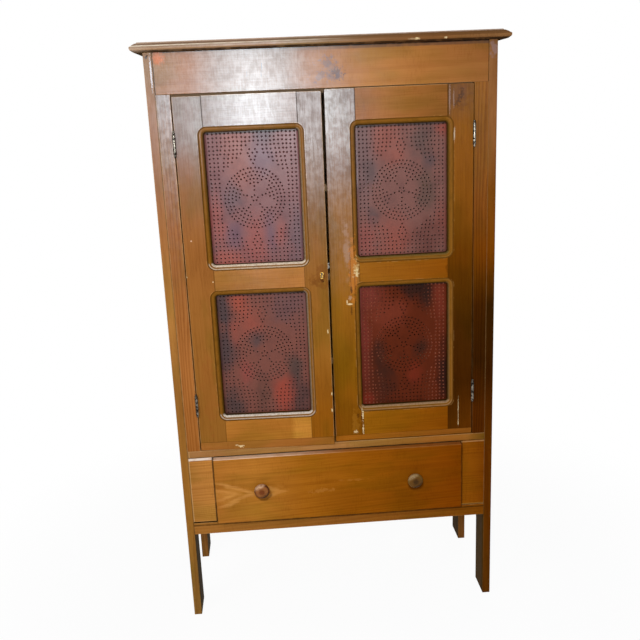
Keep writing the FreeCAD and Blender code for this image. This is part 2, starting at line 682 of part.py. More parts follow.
def doorParts(name, side, free):
    """Stiles, rails, strip, fasteners and hinge leaves of one door, by name."""
    frame = doorFrame(name, side, free)
    foot, head, sill, middle, strip = (name + word for word in ("Foot", "Head", "Sill", "Middle", "Strip"))
    through = ("-1", "doorThick + 1")
    lowMiddle = f"{sill} + openingTall / 2"
    highMiddle = f"{lowMiddle} + openingPitch"
    above = f"{head} + 1"
    acrossOpening = (f"{middle} - openingWide / 2", f"{middle} + openingWide / 2")
    edge = acrossOpening[1] if side > 0 else acrossOpening[0]
    beyond = sideRange(side, "hingeEdge + 1", "hingeEdge + 1")[0]
    hingeXs = (edge, beyond) if side > 0 else (beyond, edge)
    other = acrossOpening[0] if side > 0 else acrossOpening[1]
    past = f"{free[0]} - {side * 9}"
    meetingXs = (past, other) if side > 0 else (other, past)

    def part(word, xs, zs):
        return common(f"{name}_{word}_blank", frame, box(f"{name}_{word}_region", xs, through, zs))
    rails = {
        "bottom": ((strip, lowMiddle), (f"{strip} + 6", f"{sill} - stepWide - 2")),
        "middle": ((lowMiddle, highMiddle),
                   (f"{sill} + openingTall + stepWide + 2", f"{sill} + openingPitch - stepWide - 2")),
        "top": ((highMiddle, above),
                (f"{sill} + openingPitch + openingTall + stepWide + 2", f"{head} - 12")),
    }
    parts = {}
    tenons = []
    for word, (zs, tenonZs) in rails.items():
        tenon = box(f"{name}_{word}_tenons",
                    (f"{acrossOpening[0]} - tenonLong", f"{acrossOpening[1]} + tenonLong"),
                    ("tenonFront", "tenonFront + tenonThick"), tenonZs)
        tenons.append(tenon)
        parts[word + "_rail"] = fuse(f"{name}_{word}_rail", part(word, acrossOpening, zs), tenon)
    screws = copies(f"{name}_hinge_screws", screw(), screwPlaces(side, False))
    gains = [gain(f"{name}_gain_{height}", side, where, False)
             for height, where in zip(("low", "high"), hingeHeights[side])]
    hingeBlank = cut(f"{name}_hinge_stile_mortised", part("hinge_stile", hingeXs, (strip, above)),
                     *tenons, *gains)
    parts["hinge_stile"] = cut(f"{name}_hinge_stile", hingeBlank, screws)
    parts["meeting_stile"] = cut(f"{name}_meeting_stile_mortised",
                                 part("meeting_stile", meetingXs, (strip, above)), *tenons)
    parts["bottom_strip"] = part("bottom_strip", ("-hingeEdge - 9", "hingeEdge + 9"),
                                 (f"{foot} - 1", strip))
    parts["fasteners"] = group(f"{name}_fasteners_loose", [screws, copies(
        f"{name}_tin_tacks", tack(),
        [place for up in (0, size["openingPitch"])
         for place in tackPlaces(size[middle], size[sill] + size["openingTall"] / 2 + up)])])
    parts["hinge_leaves"] = group(f"{name}_hinge_leaves", [
        cut(f"{name}_leaf_{height}_drilled",
            leaf(f"{name}_leaf_{height}", side, where, False), screws)
        for height, where in zip(("low", "high"), hingeHeights[side])])
    return parts


def finishDoor(name, parts, turn=None):
    """Name a door's pieces, add its tins, and turn it on its hinges where it stands ajar."""
    pitch = size["openingPitch"]
    centre = size[name + "Sill"] + size["openingTall"] / 2
    middle = size[name + "Middle"]
    finished = [piece(part) for part in parts.values()]
    for part, word in zip(finished, parts):
        part.Label = f"{name}_{word}"
    finished.append(tin(f"{name}_lower_tin", middle, centre, name == "right"))
    finished.append(tin(f"{name}_upper_tin", middle, centre + pitch, name == "right"))
    if turn is not None:
        for part in finished:
            part.Placement = turn


def keyholeShape(label, grow, ys):
    """A round hole over a narrow slot, grown on all sides."""
    rounds = cylinder(label + "_round", ("keyX", ys[0], "keyZ"), (0, 1, 0),
                      f"keyRadius + {grow}", f"{ys[1]} - ({ys[0]})")
    slot = box(label + "_slot", (f"keyX - 1.6 - {grow}", f"keyX + 1.6 + {grow}"), ys,
               (f"keyZ - 12 - {grow}", "keyZ"))
    return fuse(label, rounds, slot)


left = doorParts("left", -1, ("leftFree", "leftFree"))
lockXs = ("keyX - 13", "leftFree")
lockYs = ("boltFront - 1.5", "doorThick - 0.3")
lockZs = ("keyZ - 21", "boltZ + boltTall / 2 + 12")
lockCase = box("lock_case", lockXs, lockYs, lockZs)
boltSlot = box("bolt_slot", ("keyX - 11", "leftFree + 5"),
               ("boltFront - boltPlay", "boltFront + boltThick + boltPlay"),
               ("boltZ - boltTall / 2 - boltPlay", "boltZ + boltTall / 2 + boltPlay"))
keyWell = cylinder("key_well", ("keyX", "boltFront - 2", "keyZ"), (0, 1, 0), "2.6", "9")
left["lock_body"] = cut("lock_body_hollowed", lockCase, boltSlot, keyWell)
left["keyhole_lining"] = cut("keyhole_ring", keyholeShape("keyhole_outer", "1.5", ("-0.4", "5")),
                             keyholeShape("keyhole_inner", "0", ("-1", "6")))
left["meeting_stile"] = cut(
    "left_stile_with_lock",
    cut("left_stile_with_keyhole", left["meeting_stile"],
        keyholeShape("keyhole_in_stile", "1.5", ("-1", "boltFront - 1"))),
    box("lock_mortise", lockXs[:1] + ("leftFree + 1",), (lockYs[0], "doorThick + 1"), lockZs))
left["lock_bolt"] = cut(
    "bolt_notched",
    box("bolt_bar", ("keyX - 8", "boltTip"), ("boltFront", "boltFront + boltThick"),
        ("boltZ - boltTall / 2", "boltZ + boltTall / 2")),
    box("bolt_notch", ("keyX - 2", "keyX + 4"), ("boltFront - 1", "boltFront + boltThick + 1"),
        ("boltZ - boltTall / 2 - 1", "boltZ - boltTall / 2 + 4")))
leftPin = Vector(-size["pinX"], size["frontY"] + size["pinY"], 0)
finishDoor("left", left, Placement(Vector(), Rotation(Vector(0, 0, 1), -size["leftAjar"]), leftPin))

right = doorParts("right", 1, ("rightFreeLow", "rightFreeHigh"))
edgeX = "(rightFreeLow + (boltZ - rightFoot) / (rightHead - rightFoot) * (rightFreeHigh - rightFreeLow))"
plateXs = (f"{edgeX} + 0.1", f"{edgeX} + 1.3")
plateZs = ("boltZ - 19", "boltZ + 19")
slotYs = ("boltFront - 0.7", "boltFront + boltThick + 0.7")
slotZs = ("boltZ - boltTall / 2 - 0.8", "boltZ + boltTall / 2 + 0.8")
strikePlate = box("strike_blank", plateXs, ("4", "18"), plateZs)
boltPocket = box("bolt_pocket", (f"{edgeX} - 3", f"{edgeX} + 12"), slotYs, slotZs)
right["strike_plate"] = cut("strike_plate_slotted", strikePlate, boltPocket)
right["meeting_stile"] = cut(
    "right_stile_with_strike",
    cut("right_stile_with_pocket", right["meeting_stile"], boltPocket),
    box("strike_recess", (f"{edgeX} - 3", plateXs[1]), ("4", "18"), plateZs))
catchPlate = box("catch_plate", ("catchX - 13", "catchX + 13"), ("doorThick", "doorThick + 1.6"),
                 ("catchLow - 2", "catchHigh - 4"))
catchLugs = [
    box(f"catch_lug{i}", ("catchX - 7", "catchX + 7"), ("doorThick", "catchY + catchRadius + 2"),
        (f"catchLow + {up}", f"catchLow + {up} + 10"))
    for i, up in enumerate((6, 58))]
catchBore = cylinder("catch_bore", ("catchX", "catchY", "catchLow - 5"), (0, 0, 1),
                     "catchRadius + 0.06", "catchHigh - catchLow + 10")
right["catch_case"] = cut("catch_case_bored", fuse("catch_case_blank", catchPlate, *catchLugs),
                          catchBore)
catchBar = cylinder("catch_bar", ("catchX", "catchY", "catchLow"), (0, 0, 1), "catchRadius",
                    "catchHigh - catchLow")
catchKnob = cylinder("catch_knob", ("catchX", "catchY", "catchLow + 32"), (0, 1, 0), "3.2", "14")
right["catch_bolt"] = fuse("catch_bolt_blank", catchBar, catchKnob)
finishDoor("right", right)


# ---------------------------------------------------------------- drawer

drawerXs = ("-drawerHalf", "drawerHalf")
frontBack = "frontThick - drawerProud"
drawerEnd = f"{frontBack} + drawerLong"
bottomZs = ("drawerBottomZ", "drawerBottomZ + drawerBottomThick")
sideOuter = "(drawerHalf - 1.5)"
sideInner = "(drawerHalf - 1.5 - drawerSide)"
bottomXs = (f"-{sideInner} - groove", f"{sideInner} + groove")


def drawerFront():
    """A board with eased front edges, rabbeted for the sides and grooved for the bottom."""
    body = doc.addObject("PartDesign::Body", "drawer_front_board")
    board = pad(body, outlineSketch(body, "drawer_front_outline", "XZ_Plane",
                                    rectangle(*drawerXs, "drawerFoot", "drawerHead")),
                "frontThick", True)
    roundEdges(body, board, "2.2", lambda edge: edge.BoundBox.YMax < 0.01)
    bind(body, "Placement.Base.y", "frontY - drawerProud")
    joints = [
        box(f"drawer_front_rabbet_{sideName}", sideRange(side, sideInner, "drawerHalf + 1"),
            (f"{frontBack} - 10", f"{frontBack} + 1"), ("drawerFoot - 1", "drawerSideTop"))
        for sideName, side in sides]
    joints.append(box("drawer_front_groove", (f"-{sideInner}", sideInner),
                      (f"{frontBack} - groove", f"{frontBack} + 1"), bottomZs))
    joints += [cylinder("knob_hole_" + sideName, (where, "-1 - drawerProud", "knobZ"), (0, 1, 0),
                        "5.5", "17") for sideName, where in (("left", "knobLeftX"),
                                                             ("right", "knobRightX"))]
    return piece(cut("drawer_front", body, *joints))


drawerFront()
for sideName, side in sides:
    board = box(f"drawer_side_{sideName}_board", sideRange(side, sideInner, sideOuter),
                (f"{frontBack} - 10", drawerEnd), ("drawerFoot", "drawerSideTop"))
    slot = box(f"drawer_side_{sideName}_groove", sideRange(side, f"{sideInner} - 1",
                                                           f"{sideInner} + groove"),
               (f"{frontBack} - groove", f"{drawerEnd} + 1"), bottomZs)
    piece(cut(f"drawer_side_{sideName}", board, slot))
piece(box("drawer_back", (f"-{sideInner}", sideInner), (f"{drawerEnd} - drawerSide", drawerEnd),
          (bottomZs[1], "drawerSideTop - 6")))
piece(box("drawer_bottom", bottomXs, (f"{frontBack} - groove", drawerEnd), bottomZs))


def knob(label, where):
    """A turned knob: a round tenon, a foot, a neck and a domed head."""
    body = doc.addObject("PartDesign::Body", label)
    profile = outlineSketch(body, label + "_profile", "YZ_Plane", [
        ("16", "0"), ("16", "5.5"), ("0", "5.5"), ("0", "12"), ("-4", "12"), ("-4", "8"),
        ("-knobReach + 13", "8"), ("-knobReach + 13", "knobRadius"),
        ("-knobReach", "knobRadius"), ("-knobReach", "0")])
    turned = body.newObject("PartDesign::Revolution", label + "_turned")
    turned.Profile = profile
    turned.ReferenceAxis = (profile, ["H_Axis"])
    turned.Angle = 360
    doc.recompute()

    def ring(y, radius):
        def wanted(edge):
            span = edge.BoundBox
            flat = span.YLength < 0.01 and abs(span.YMin - y) < 0.01
            return flat and abs(span.XMax - radius) < 0.05
        return wanted
    reach = size["knobReach"]
    last = roundEdges(body, turned, "9.5", ring(-reach, size["knobRadius"]))
    last = roundEdges(body, last, "3", ring(-reach + 13, size["knobRadius"]))
    last = roundEdges(body, last, "4", ring(-reach + 13, 8))
    roundEdges(body, last, "2.5", ring(-4, 12))
    bind(body, "Placement.Base.x", where)
    bind(body, "Placement.Base.y", "frontY - drawerProud")
    bind(body, "Placement.Base.z", "knobZ")
    return piece(body)


knob("knob_left", "knobLeftX")
knob("knob_right", "knobRightX")


# ---------------------------------------------------------------- checks and files

doc.recompute()
for thing in doc.Objects:
    if {"Invalid", "Error"} & set(thing.State):
        raise RuntimeError(f"{thing.Name} failed: {thing.State}")
names = [part.Label for part in pieces]
if len(set(names)) != len(names) or len(names) > 60:
    raise RuntimeError(f"{len(names)} sub-parts, {len(set(names))} different names")
whole = FreeCAD.BoundBox()
for part in pieces:
    if part.Shape.isNull() or not part.Shape.isValid() or not part.Shape.Solids:
        raise RuntimeError(f"{part.Label} has no sound solid")
    whole.add(part.Shape.BoundBox)
if abs(whole.XMin + whole.XMax) > 0.5 or abs(whole.YMin + whole.YMax) > 0.5 or abs(whole.ZMin) > 0.1:
    raise RuntimeError(f"the origin isn't under the middle: {whole}")
os.makedirs("parts", exist_ok=True)
for part in pieces:
    part.Shape.exportStep(f"parts/{part.Label}.step")
print(len(pieces), "sub-parts", whole)
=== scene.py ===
import json
import math
import random
import time
import bpy
import bmesh
from mathutils import Matrix, Vector, geometry


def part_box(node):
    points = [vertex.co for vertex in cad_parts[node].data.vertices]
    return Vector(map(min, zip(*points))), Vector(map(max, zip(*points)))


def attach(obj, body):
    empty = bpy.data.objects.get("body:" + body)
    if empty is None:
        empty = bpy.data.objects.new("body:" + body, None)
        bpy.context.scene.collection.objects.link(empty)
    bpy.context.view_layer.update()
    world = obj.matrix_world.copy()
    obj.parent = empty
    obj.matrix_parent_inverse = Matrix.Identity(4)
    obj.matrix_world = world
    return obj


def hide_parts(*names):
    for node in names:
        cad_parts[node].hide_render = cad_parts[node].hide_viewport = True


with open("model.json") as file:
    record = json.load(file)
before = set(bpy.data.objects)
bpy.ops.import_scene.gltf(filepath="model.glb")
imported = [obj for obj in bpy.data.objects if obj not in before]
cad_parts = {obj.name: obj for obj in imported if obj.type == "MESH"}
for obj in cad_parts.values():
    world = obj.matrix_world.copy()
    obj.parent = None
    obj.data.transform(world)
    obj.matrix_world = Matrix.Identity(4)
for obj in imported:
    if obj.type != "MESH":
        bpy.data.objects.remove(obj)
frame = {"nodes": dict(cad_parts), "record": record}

began = time.time()

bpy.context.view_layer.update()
nodes = frame["nodes"]
bodies = frame["record"]["behaviour"]["bodies"]
bodyOf = {member: body for body, members in bodies.items() for member in members}

mm = 0.001
caseFront = -0.178                                   # front plane of the case, metres
leftPin = Vector((-0.3855, caseFront - 0.0043, 0))   # the left door turns about this
leftAjar = math.radians(2.4)
ajarTurn = Matrix.Translation(leftPin) @ Matrix.Rotation(-leftAjar, 4, "Z") @ Matrix.Translation(-leftPin)
doorMiddle = {"left": (-0.1912, 0, 1.0085), "right": (0.197, 0, 1.0095)}
# each door's two openings, centred that far apart above and below its middle
opening = {"halfWide": 0.120, "halfTall": 0.171, "corner": 0.007, "apart": 0.213}


def say(words):
    print(words, round(time.time() - began, 1))


say(f"frame loaded, {len(nodes)} nodes")


# small helpers for node trees
def feed(tree, socket, value):
    if isinstance(value, bpy.types.NodeSocket):
        tree.links.new(value, socket)
    else:
        socket.default_value = value


def addNode(tree, kind, inputs=None, **settings):
    # kind goes without its leading ShaderNode
    node = tree.nodes.new(kind if kind.startswith("NodeGroup") else "ShaderNode" + kind)
    for key, value in settings.items():
        setattr(node, key, value)
    for key, value in (inputs or {}).items():
        feed(tree, node.inputs[key], value)
    return node


def calc(tree, operation, *values):
    return addNode(tree, "Math", dict(enumerate(values)), operation=operation).outputs[0]


def less(tree, first, second):
    return calc(tree, "SUBTRACT", first, second)


def scaled(tree, value, factor, offset):
    return calc(tree, "MULTIPLY_ADD", value, factor, offset)


def most(tree, first, second):
    return calc(tree, "MAXIMUM", first, second)


def times(tree, product, *others):
    for other in others:
        product = calc(tree, "MULTIPLY", product, other)
    return product


def offFrom(tree, value, place):
    return calc(tree, "ABSOLUTE", less(tree, value, place))


def diagonal(tree, across, up):
    return calc(tree, "SQRT", calc(tree, "ADD", times(tree, across, across), times(tree, up, up)))


def vectorCalc(tree, operation, *values):
    return addNode(tree, "VectorMath", dict(enumerate(values)), operation=operation).outputs


def split(tree, at):
    return addNode(tree, "SeparateXYZ", {"Vector": at}).outputs


def ownPlace(tree):
    return addNode(tree, "TexCoord").outputs["Object"]


def mapped(tree, at, inputs):
    return addNode(tree, "Mapping", {"Vector": at, **inputs}).outputs["Vector"]


def blendIn(tree, amount, under, over, how="MIX"):
    given = {"Factor": amount, "A": under, "B": over}
    return addNode(tree, "Mix", given, data_type="RGBA", blend_type=how).outputs["Result"]


def ramp(tree, value, start, end, low=0.0, high=1.0):
    # value from start to end becomes low to high, smoothly
    given = {"Value": value, "From Min": start, "From Max": end, "To Min": low, "To Max": high}
    return addNode(tree, "MapRange", given, interpolation_type="SMOOTHSTEP").outputs["Result"]


def speckle(tree, at, scale, detail=3.0, rough=0.55):
    # noise, drawn out where scale is three numbers
    if isinstance(scale, tuple):
        at, scale = mapped(tree, at, {"Scale": scale}), 1.0
    given = {"Vector": at, "Scale": scale, "Detail": detail, "Roughness": rough}
    return addNode(tree, "TexNoise", given).outputs["Fac"]


toneNames = {"dark": (30, 16, 5), "shade": (92, 58, 12), "bright": (200, 150, 88), "worn": (205, 160, 105),
             "cream": (228, 200, 150), "pink": (226, 190, 160), "innerPine": (132, 96, 58)}


def paint(tone):
    # a tone as a screen shows it, 0 to 255, or its name, to the light values Blender mixes in
    def toLight(value):
        value /= 255
        return value / 12.92 if value <= 0.04045 else ((value + 0.055) / 1.055) ** 2.4
    return (*(toLight(value) for value in (toneNames[tone] if isinstance(tone, str) else tone)), 1)


def tint(tree, amount, colour, tone):
    return blendIn(tree, amount, colour, paint(tone))


def byStops(tree, value, stops, margin=0.0):
    # colours, and gloss as their alpha, along value; a stop is place in millimetres, tone and any gloss
    start = stops[0][0] * mm - margin
    span = stops[-1][0] * mm + margin - start
    node = addNode(tree, "ValToRGB", {"Fac": scaled(tree, value, 1 / span, -start / span)})
    points = node.color_ramp.elements
    while len(points) < len(stops):
        points.new(0.5)
    for point, (place, red, green, blue, *gloss) in zip(points, stops):
        point.position = (place * mm - start) / span
        point.color = (*paint((red, green, blue))[:3], *(gloss or [0]))
    return node.outputs["Color"], node.outputs["Alpha"]


# shared effects
def newGroup(name, build, **given):
    # build makes the inside from a place and the given values, and returns what comes out of it
    group = bpy.data.node_groups.new(name, "ShaderNodeTree")
    given = {"at": (0, 0, 0), **given}
    for label, value in given.items():
        kind = "NodeSocketVector" if isinstance(value, tuple) else "NodeSocketFloat"
        group.interface.new_socket(name=label, in_out="INPUT", socket_type=kind).default_value = value
    ins = addNode(group, "NodeGroupInput").outputs
    made = build(group, *(ins[label] for label in given))
    for label in made:
        group.interface.new_socket(name=label, in_out="OUTPUT", socket_type="NodeSocketFloat")
    addNode(group, "NodeGroupOutput", made)
    return group


def useGroup(tree, group, at, **given):
    return addNode(tree, "Group", {"at": at, **given}, node_tree=group).outputs


def figureOf(tree, at, pitch, waver):
    # growth rings about an axis along Z, fibres and slow changes of tone
    parts = split(tree, at)
    bend = less(tree, speckle(tree, at, (7, 7, 1.6), 2.0), 0.5)
    away = scaled(tree, bend, waver, diagonal(tree, parts["X"], parts["Y"]))
    shake = speckle(tree, at, (90, 90, 5), 2.0)
    phase = scaled(tree, shake, 0.55, calc(tree, "DIVIDE", away, pitch))
    part = calc(tree, "FRACT", phase)
    year = addNode(tree, "TexWhiteNoise", {"W": calc(tree, "FLOOR", phase)}, noise_dimensions="1D")
    late = times(tree, ramp(tree, part, 0.15, 0.86), ramp(tree, part, 1.0, 0.88),
                 scaled(tree, year.outputs["Value"], 0.7, 0.3))
    fibres = speckle(tree, at, (520, 520, 9), 3.0, 0.6)
    return {"rings": late, "fibres": fibres, "clouds": speckle(tree, at, (9, 9, 3.2)),
            "height": scaled(tree, fibres, 0.5, times(tree, late, 0.5))}


def edgesOf(tree, at, low, high, width):
    # 1 along the arrises of a board whose corners are low and high
    fromLow = split(tree, vectorCalc(tree, "SUBTRACT", at, low)[0])
    fromHigh = split(tree, vectorCalc(tree, "SUBTRACT", high, at)[0])
    x, y, z = (calc(tree, "MINIMUM", fromLow[i], fromHigh[i]) for i in range(3))
    lesser, greater = calc(tree, "MINIMUM", x, y), most(tree, x, y)
    second = most(tree, lesser, calc(tree, "MINIMUM", greater, z))
    rough = less(tree, speckle(tree, at, 55, 4.0, 0.65), 0.5)
    return {"edge": ramp(tree, second, times(tree, width, scaled(tree, rough, 3.0, 1.0)), 0.0)}


def rimOf(tree, at, middle):
    # metres from the edge of the nearer of a door's two openings, outwards
    wide, tall, corner = opening["halfWide"], opening["halfTall"], opening["corner"]
    x, _, z = split(tree, vectorCalc(tree, "SUBTRACT", at, middle)[0])
    aside = calc(tree, "ABSOLUTE", x)
    fromCentre = less(tree, calc(tree, "ABSOLUTE", z), opening["apart"])
    sideways = most(tree, less(tree, aside, wide - corner), 0.0)
    upwards = less(tree, calc(tree, "ABSOLUTE", fromCentre), tall - corner)
    span = diagonal(tree, sideways, most(tree, upwards, 0.0))
    aloft = times(tree, fromCentre, calc(tree, "SIGN", z))
    return {"away": less(tree, span, corner),
            "joint": ramp(tree, offFrom(tree, aside, wide), 0.0020, 0.0005),
            "sill": ramp(tree, aloft, corner - tall, -tall), "upper": calc(tree, "GREATER_THAN", z, 0.0),
            "right": ramp(tree, x, wide - corner, wide - 0.001)}


def maskOf(tree, at, centre, reach, ragged, grain, soft):
    # a ragged spot: a knot, stain, chip or dab of putty
    apart = vectorCalc(tree, "SUBTRACT", at, centre)[0]
    span = vectorCalc(tree, "LENGTH", vectorCalc(tree, "DIVIDE", apart, reach)[0])["Value"]
    rough = less(tree, speckle(tree, at, grain, 4.0, 0.6), 0.5)
    uneven = scaled(tree, rough, times(tree, ragged, 4), span)
    return {"mask": ramp(tree, uneven, calc(tree, "ADD", 0.92, soft), less(tree, 0.92, soft))}


def polishOf(tree, at, fibres, mottle):
    # how much of a board's gloss is left between its scratches and dull patches
    mixed = scaled(tree, speckle(tree, at, (280, 280, 34), 3.0, 0.6), 0.33, times(tree, fibres, 0.22))
    mixed = scaled(tree, speckle(tree, at, 70, 5.0, 0.65), 0.45, mixed)
    return {"amount": ramp(tree, mixed, 0.60, 0.40, less(tree, 1.0, mottle), calc(tree, "ADD", 1.0, mottle))}


pineFigure = newGroup("pineFigure", figureOf, pitch=0.005, waver=0.01)
polish = newGroup("polish", polishOf, fibres=0.5, mottle=0.2)
boardEdges = newGroup("boardEdges", edgesOf, low=(0, 0, 0), high=(1, 1, 1), width=0.004)
openingRim = newGroup("openingRim", rimOf, middle=(0, 0, 0))
mark = newGroup("mark", maskOf, centre=(0, 0, 0), reach=(1, 1, 1), ragged=0.6, grain=120.0, soft=0.22)


# materials and pieces
def newMaterial(name):
    material = bpy.data.materials.new(name)
    material.use_nodes = True
    tree = material.node_tree
    tree.nodes.clear()
    shader = addNode(tree, "BsdfPrincipled")
    addNode(tree, "OutputMaterial", {"Surface": shader.outputs[0]})
    return material, tree, shader


def setShader(tree, shader, inputs, bump=None):
    for key, value in inputs.items():
        feed(tree, shader.inputs[key], value)
    if bump:
        height, strength, distance = bump
        node = addNode(tree, "Bump", {"Height": height, "Strength": strength, "Distance": distance})
        feed(tree, shader.inputs["Normal"], node.outputs["Normal"])


def boardPlace(tree, node):
    # object coordinates, with the left door's parts turned back to where they shut
    at = ownPlace(tree)
    if node.startswith("left_"):
        shift = leftPin - Matrix.Rotation(leftAjar, 3, "Z") @ leftPin
        at = mapped(tree, at, {"Location": shift, "Rotation": (0, 0, leftAjar)})
    return at


def nodeBox(node):
    # a node's corners, with the left door's parts as they are when shut
    if not node.startswith("left_"):
        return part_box(node)
    back = ajarTurn.inverted()
    points = [back @ vertex.co for vertex in nodes[node].data.vertices]
    return [Vector([pick(point[i] for point in points) for i in range(3)]) for pick in (min, max)]


def dress(thing, material):
    thing.data.materials.clear()
    thing.data.materials.append(material)


def dressAll(groups):
    for material, names in groups.items():
        for node in names.split():
            dress(nodes[node], material)


def putIn(name, data):
    thing = bpy.data.objects.new(name, data)
    bpy.context.scene.collection.objects.link(thing)
    return thing


def meshThing(name, work, material):
    data = bpy.data.meshes.new(name)
    work.to_mesh(data)
    work.free()
    thing = putIn(name, data)
    dress(thing, material)
    return thing


def addPiece(name, work, node, material, smooth=None):
    # rides node's body in node's place
    thing = meshThing(name, work, material)
    if smooth is not None:
        thing.data.polygons.foreach_set("use_smooth", [True] * len(thing.data.polygons))
        thing.data.set_sharp_from_angle(angle=math.radians(smooth))
    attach(thing, bodyOf[node])
    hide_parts(node)
    return thing


# varnished pine
grainShades = {"pale": (1.14, 1.15, 1.2, 1), "deep": (0.66, 0.54, 0.42, 1), "glaze": (0.66, 0.6, 0.5, 1),
               "olive": (0.8, 0.9, 0.72, 1)}
pineDefaults = {
    "pitch": 0.005, "waver": 0.014, "heart": (0.05, 0.09), "lean": (0.6, 0.5), "figure": 0.55, "fibre": 0.4,
    "cloud": 0.4, "edge": 0.0024, "wear": 0.45, "edgeTone": "worn", "marks": (), "lines": (), "seed": 0,
    "bump": 0.25, "rough": (0.4, 0.55), "inner": None, "mottle": 0.22, "crackle": 0.3, "dull": None,
    "behind": None, "flame": None, "door": None,
}   # inner: plane, side and tone of the inside face; behind: tone and gloss of the sides
# tones across the moulding, outwards from the tin; the darker inner edge by the tin and the darker outer
# step are painted shade
mouldTonesAndShade = ((0, 58, 38, 12), (2.5, 78, 52, 16), (4.5, 110, 72, 20), (7, 126, 80, 23), (11.5, 134, 86, 27),
              (13, 118, 74, 22), (14.8, 102, 63, 19), (16, 100, 62, 19))
sillLooks = {   # the pale dust and painted highlight on each opening's sill: tone and strength
    "left": {"upper": ((238, 216, 190), 0.76), "lower": ((214, 198, 182), 0.95)},
    "right": {"upper": ((160, 140, 84), 0.2), "lower": ((190, 152, 116), 0.55)},
}


def grainSpace(tree, at, look, middle):
    # the tree's heart lies beside and behind the board, leaning a little
    across, behind = look["heart"]
    lean = [math.radians(angle) for angle in look["lean"]]
    turn = Matrix.Rotation(lean[0], 3, "Y") @ Matrix.Rotation(lean[1], 3, "X")
    heart = middle + Vector((across, behind, 0))
    if look["along"] == "x":
        turn = turn @ Matrix.Rotation(-math.pi / 2, 3, "Y")
        heart = middle + Vector((0, behind, across))
    shift = Vector((0, 0, look["seed"])) - turn @ heart
    return mapped(tree, at, {"Location": shift, "Rotation": turn.to_euler()})


def shadeOver(tree, amount, colour, shade):
    return blendIn(tree, amount, colour, blendIn(tree, 1.0, colour, grainShades[shade], "MULTIPLY"))


def rimPaint(tree, at, colour, door):
    # the routed moulding round a door's openings, and the joints of its frame
    rim = useGroup(tree, openingRim, at, middle=doorMiddle[door])
    away = rim["away"]
    rough = speckle(tree, at, 60)
    fine = speckle(tree, at, 240, 3.0, 0.6)
    clear = ramp(tree, split(tree, at)["Z"], 1.10, 1.40, 0.40, 0.75)
    seam = times(tree, rim["joint"], ramp(tree, away, 0.0150, 0.0165), clear)
    colour = tint(tree, seam, colour, "dark")
    golden, _ = byStops(tree, away, mouldTonesAndShade)
    golden = tint(tree, ramp(tree, rough, 0.40, 0.75, 0, 0.45), golden, "shade")
    lower, upper = sillLooks[door]["lower"], sillLooks[door]["upper"]
    tone = tint(tree, rim["upper"], paint(lower[0]), upper[0])
    strength = scaled(tree, rim["upper"], upper[1] - lower[1], lower[1])
    # two ridges take the dust and a painted highlight, on the sills and faintly on the right side
    inner = times(tree, ramp(tree, away, 0.0004, 0.0018), ramp(tree, away, 0.0068, 0.0052))
    outer = times(tree, ramp(tree, away, 0.0090, 0.0104), ramp(tree, away, 0.0138, 0.0124, 0, 0.55))
    lit = most(tree, rim["sill"], times(tree, rim["right"], 0.18))
    dustAndHighlight = times(tree, lit, most(tree, inner, outer), strength,
                  ramp(tree, fine, 0.30, 0.58, 0.55, 1.0))
    golden = blendIn(tree, dustAndHighlight, golden, tone)
    moulded = ramp(tree, away, 0.0158, 0.0148)
    colour = blendIn(tree, moulded, colour, golden)
    # the outer arris: wear and a painted highlight
    arris = times(tree, ramp(tree, away, 0.0154, 0.0160), ramp(tree, away, 0.0178, 0.0166),
                  ramp(tree, rough, 0.50, 0.62, 0, 0.28))
    worn = most(tree, times(tree, moulded, 0.75), seam)
    return tint(tree, arris, colour, "bright"), less(tree, 1.0, worn)


def flamePaint(tree, at, parts, colour, look):
    # pale tongues of grain, one inside the other
    place = scaled(tree, speckle(tree, at, (14, 14, 60), 4.0, 0.65), 0.08, parts["X"])
    off = offFrom(tree, parts["Z"], look["middle"])
    place = scaled(tree, off, look["slant"], place)
    pale = 0.0
    for *sizes, strength in look["tongues"]:
        tip, half, limit = (size * mm for size in sizes)
        band = ramp(tree, offFrom(tree, place, tip), half, half * 0.15, 0, strength)
        pale = most(tree, pale, times(tree, band, ramp(tree, off, limit, limit * 0.7)))
    threads = ramp(tree, speckle(tree, at, (20, 20, 420)), 0.35, 0.60, 0.35, 1.0)
    return tint(tree, times(tree, pale, threads), colour, look["tone"])


def edgePaint(tree, at, colour, look, low, high):
    # worn arrises; the joints of a door's frame are flush and have none
    if look["door"]:
        middle = doorMiddle[look["door"]][0]
        away = 0.1
        lowFlush, highFlush = (abs(abs(x - middle) - opening["halfWide"]) < 0.003 for x in (low.x, high.x))
        low = Vector((low.x - away * lowFlush, low.y, low.z - away * (low.z < 0.56)))
        high = Vector((high.x + away * highFlush, high.y, high.z))
    edge = useGroup(tree, boardEdges, at, low=low, high=high, width=look["edge"])["edge"]
    return tint(tree, times(tree, edge, look["wear"]), colour, look["edgeTone"])


def linePaint(tree, at, parts, colour, line):
    axis, place, half, tone, strength, *fade = line
    uneven = ramp(tree, speckle(tree, at, 45), 0.3, 0.6, 0.6, 1.0)
    off = offFrom(tree, parts[axis], place * mm)
    band = times(tree, ramp(tree, off, half * 1.4 * mm, half * 0.6 * mm), uneven, strength)
    if fade:
        band = times(tree, band, ramp(tree, parts["X"], *(end * mm for end in fade)))
    return tint(tree, band, colour, tone)


def markPaint(tree, at, front, colour, spot):
    *sizes, tone, strength, ragged, soft = (*spot, 0)[:8]
    x, z, wide, tall = (size * mm for size in sizes)
    shape = useGroup(tree, mark, at, centre=(x, front, z), reach=(wide, 0.04, tall), ragged=ragged,
                     grain=1.8 / max(wide, tall) if soft else 0.9 / min(wide, tall), soft=soft or 0.22)
    return tint(tree, times(tree, shape["mask"], strength), colour, tone)


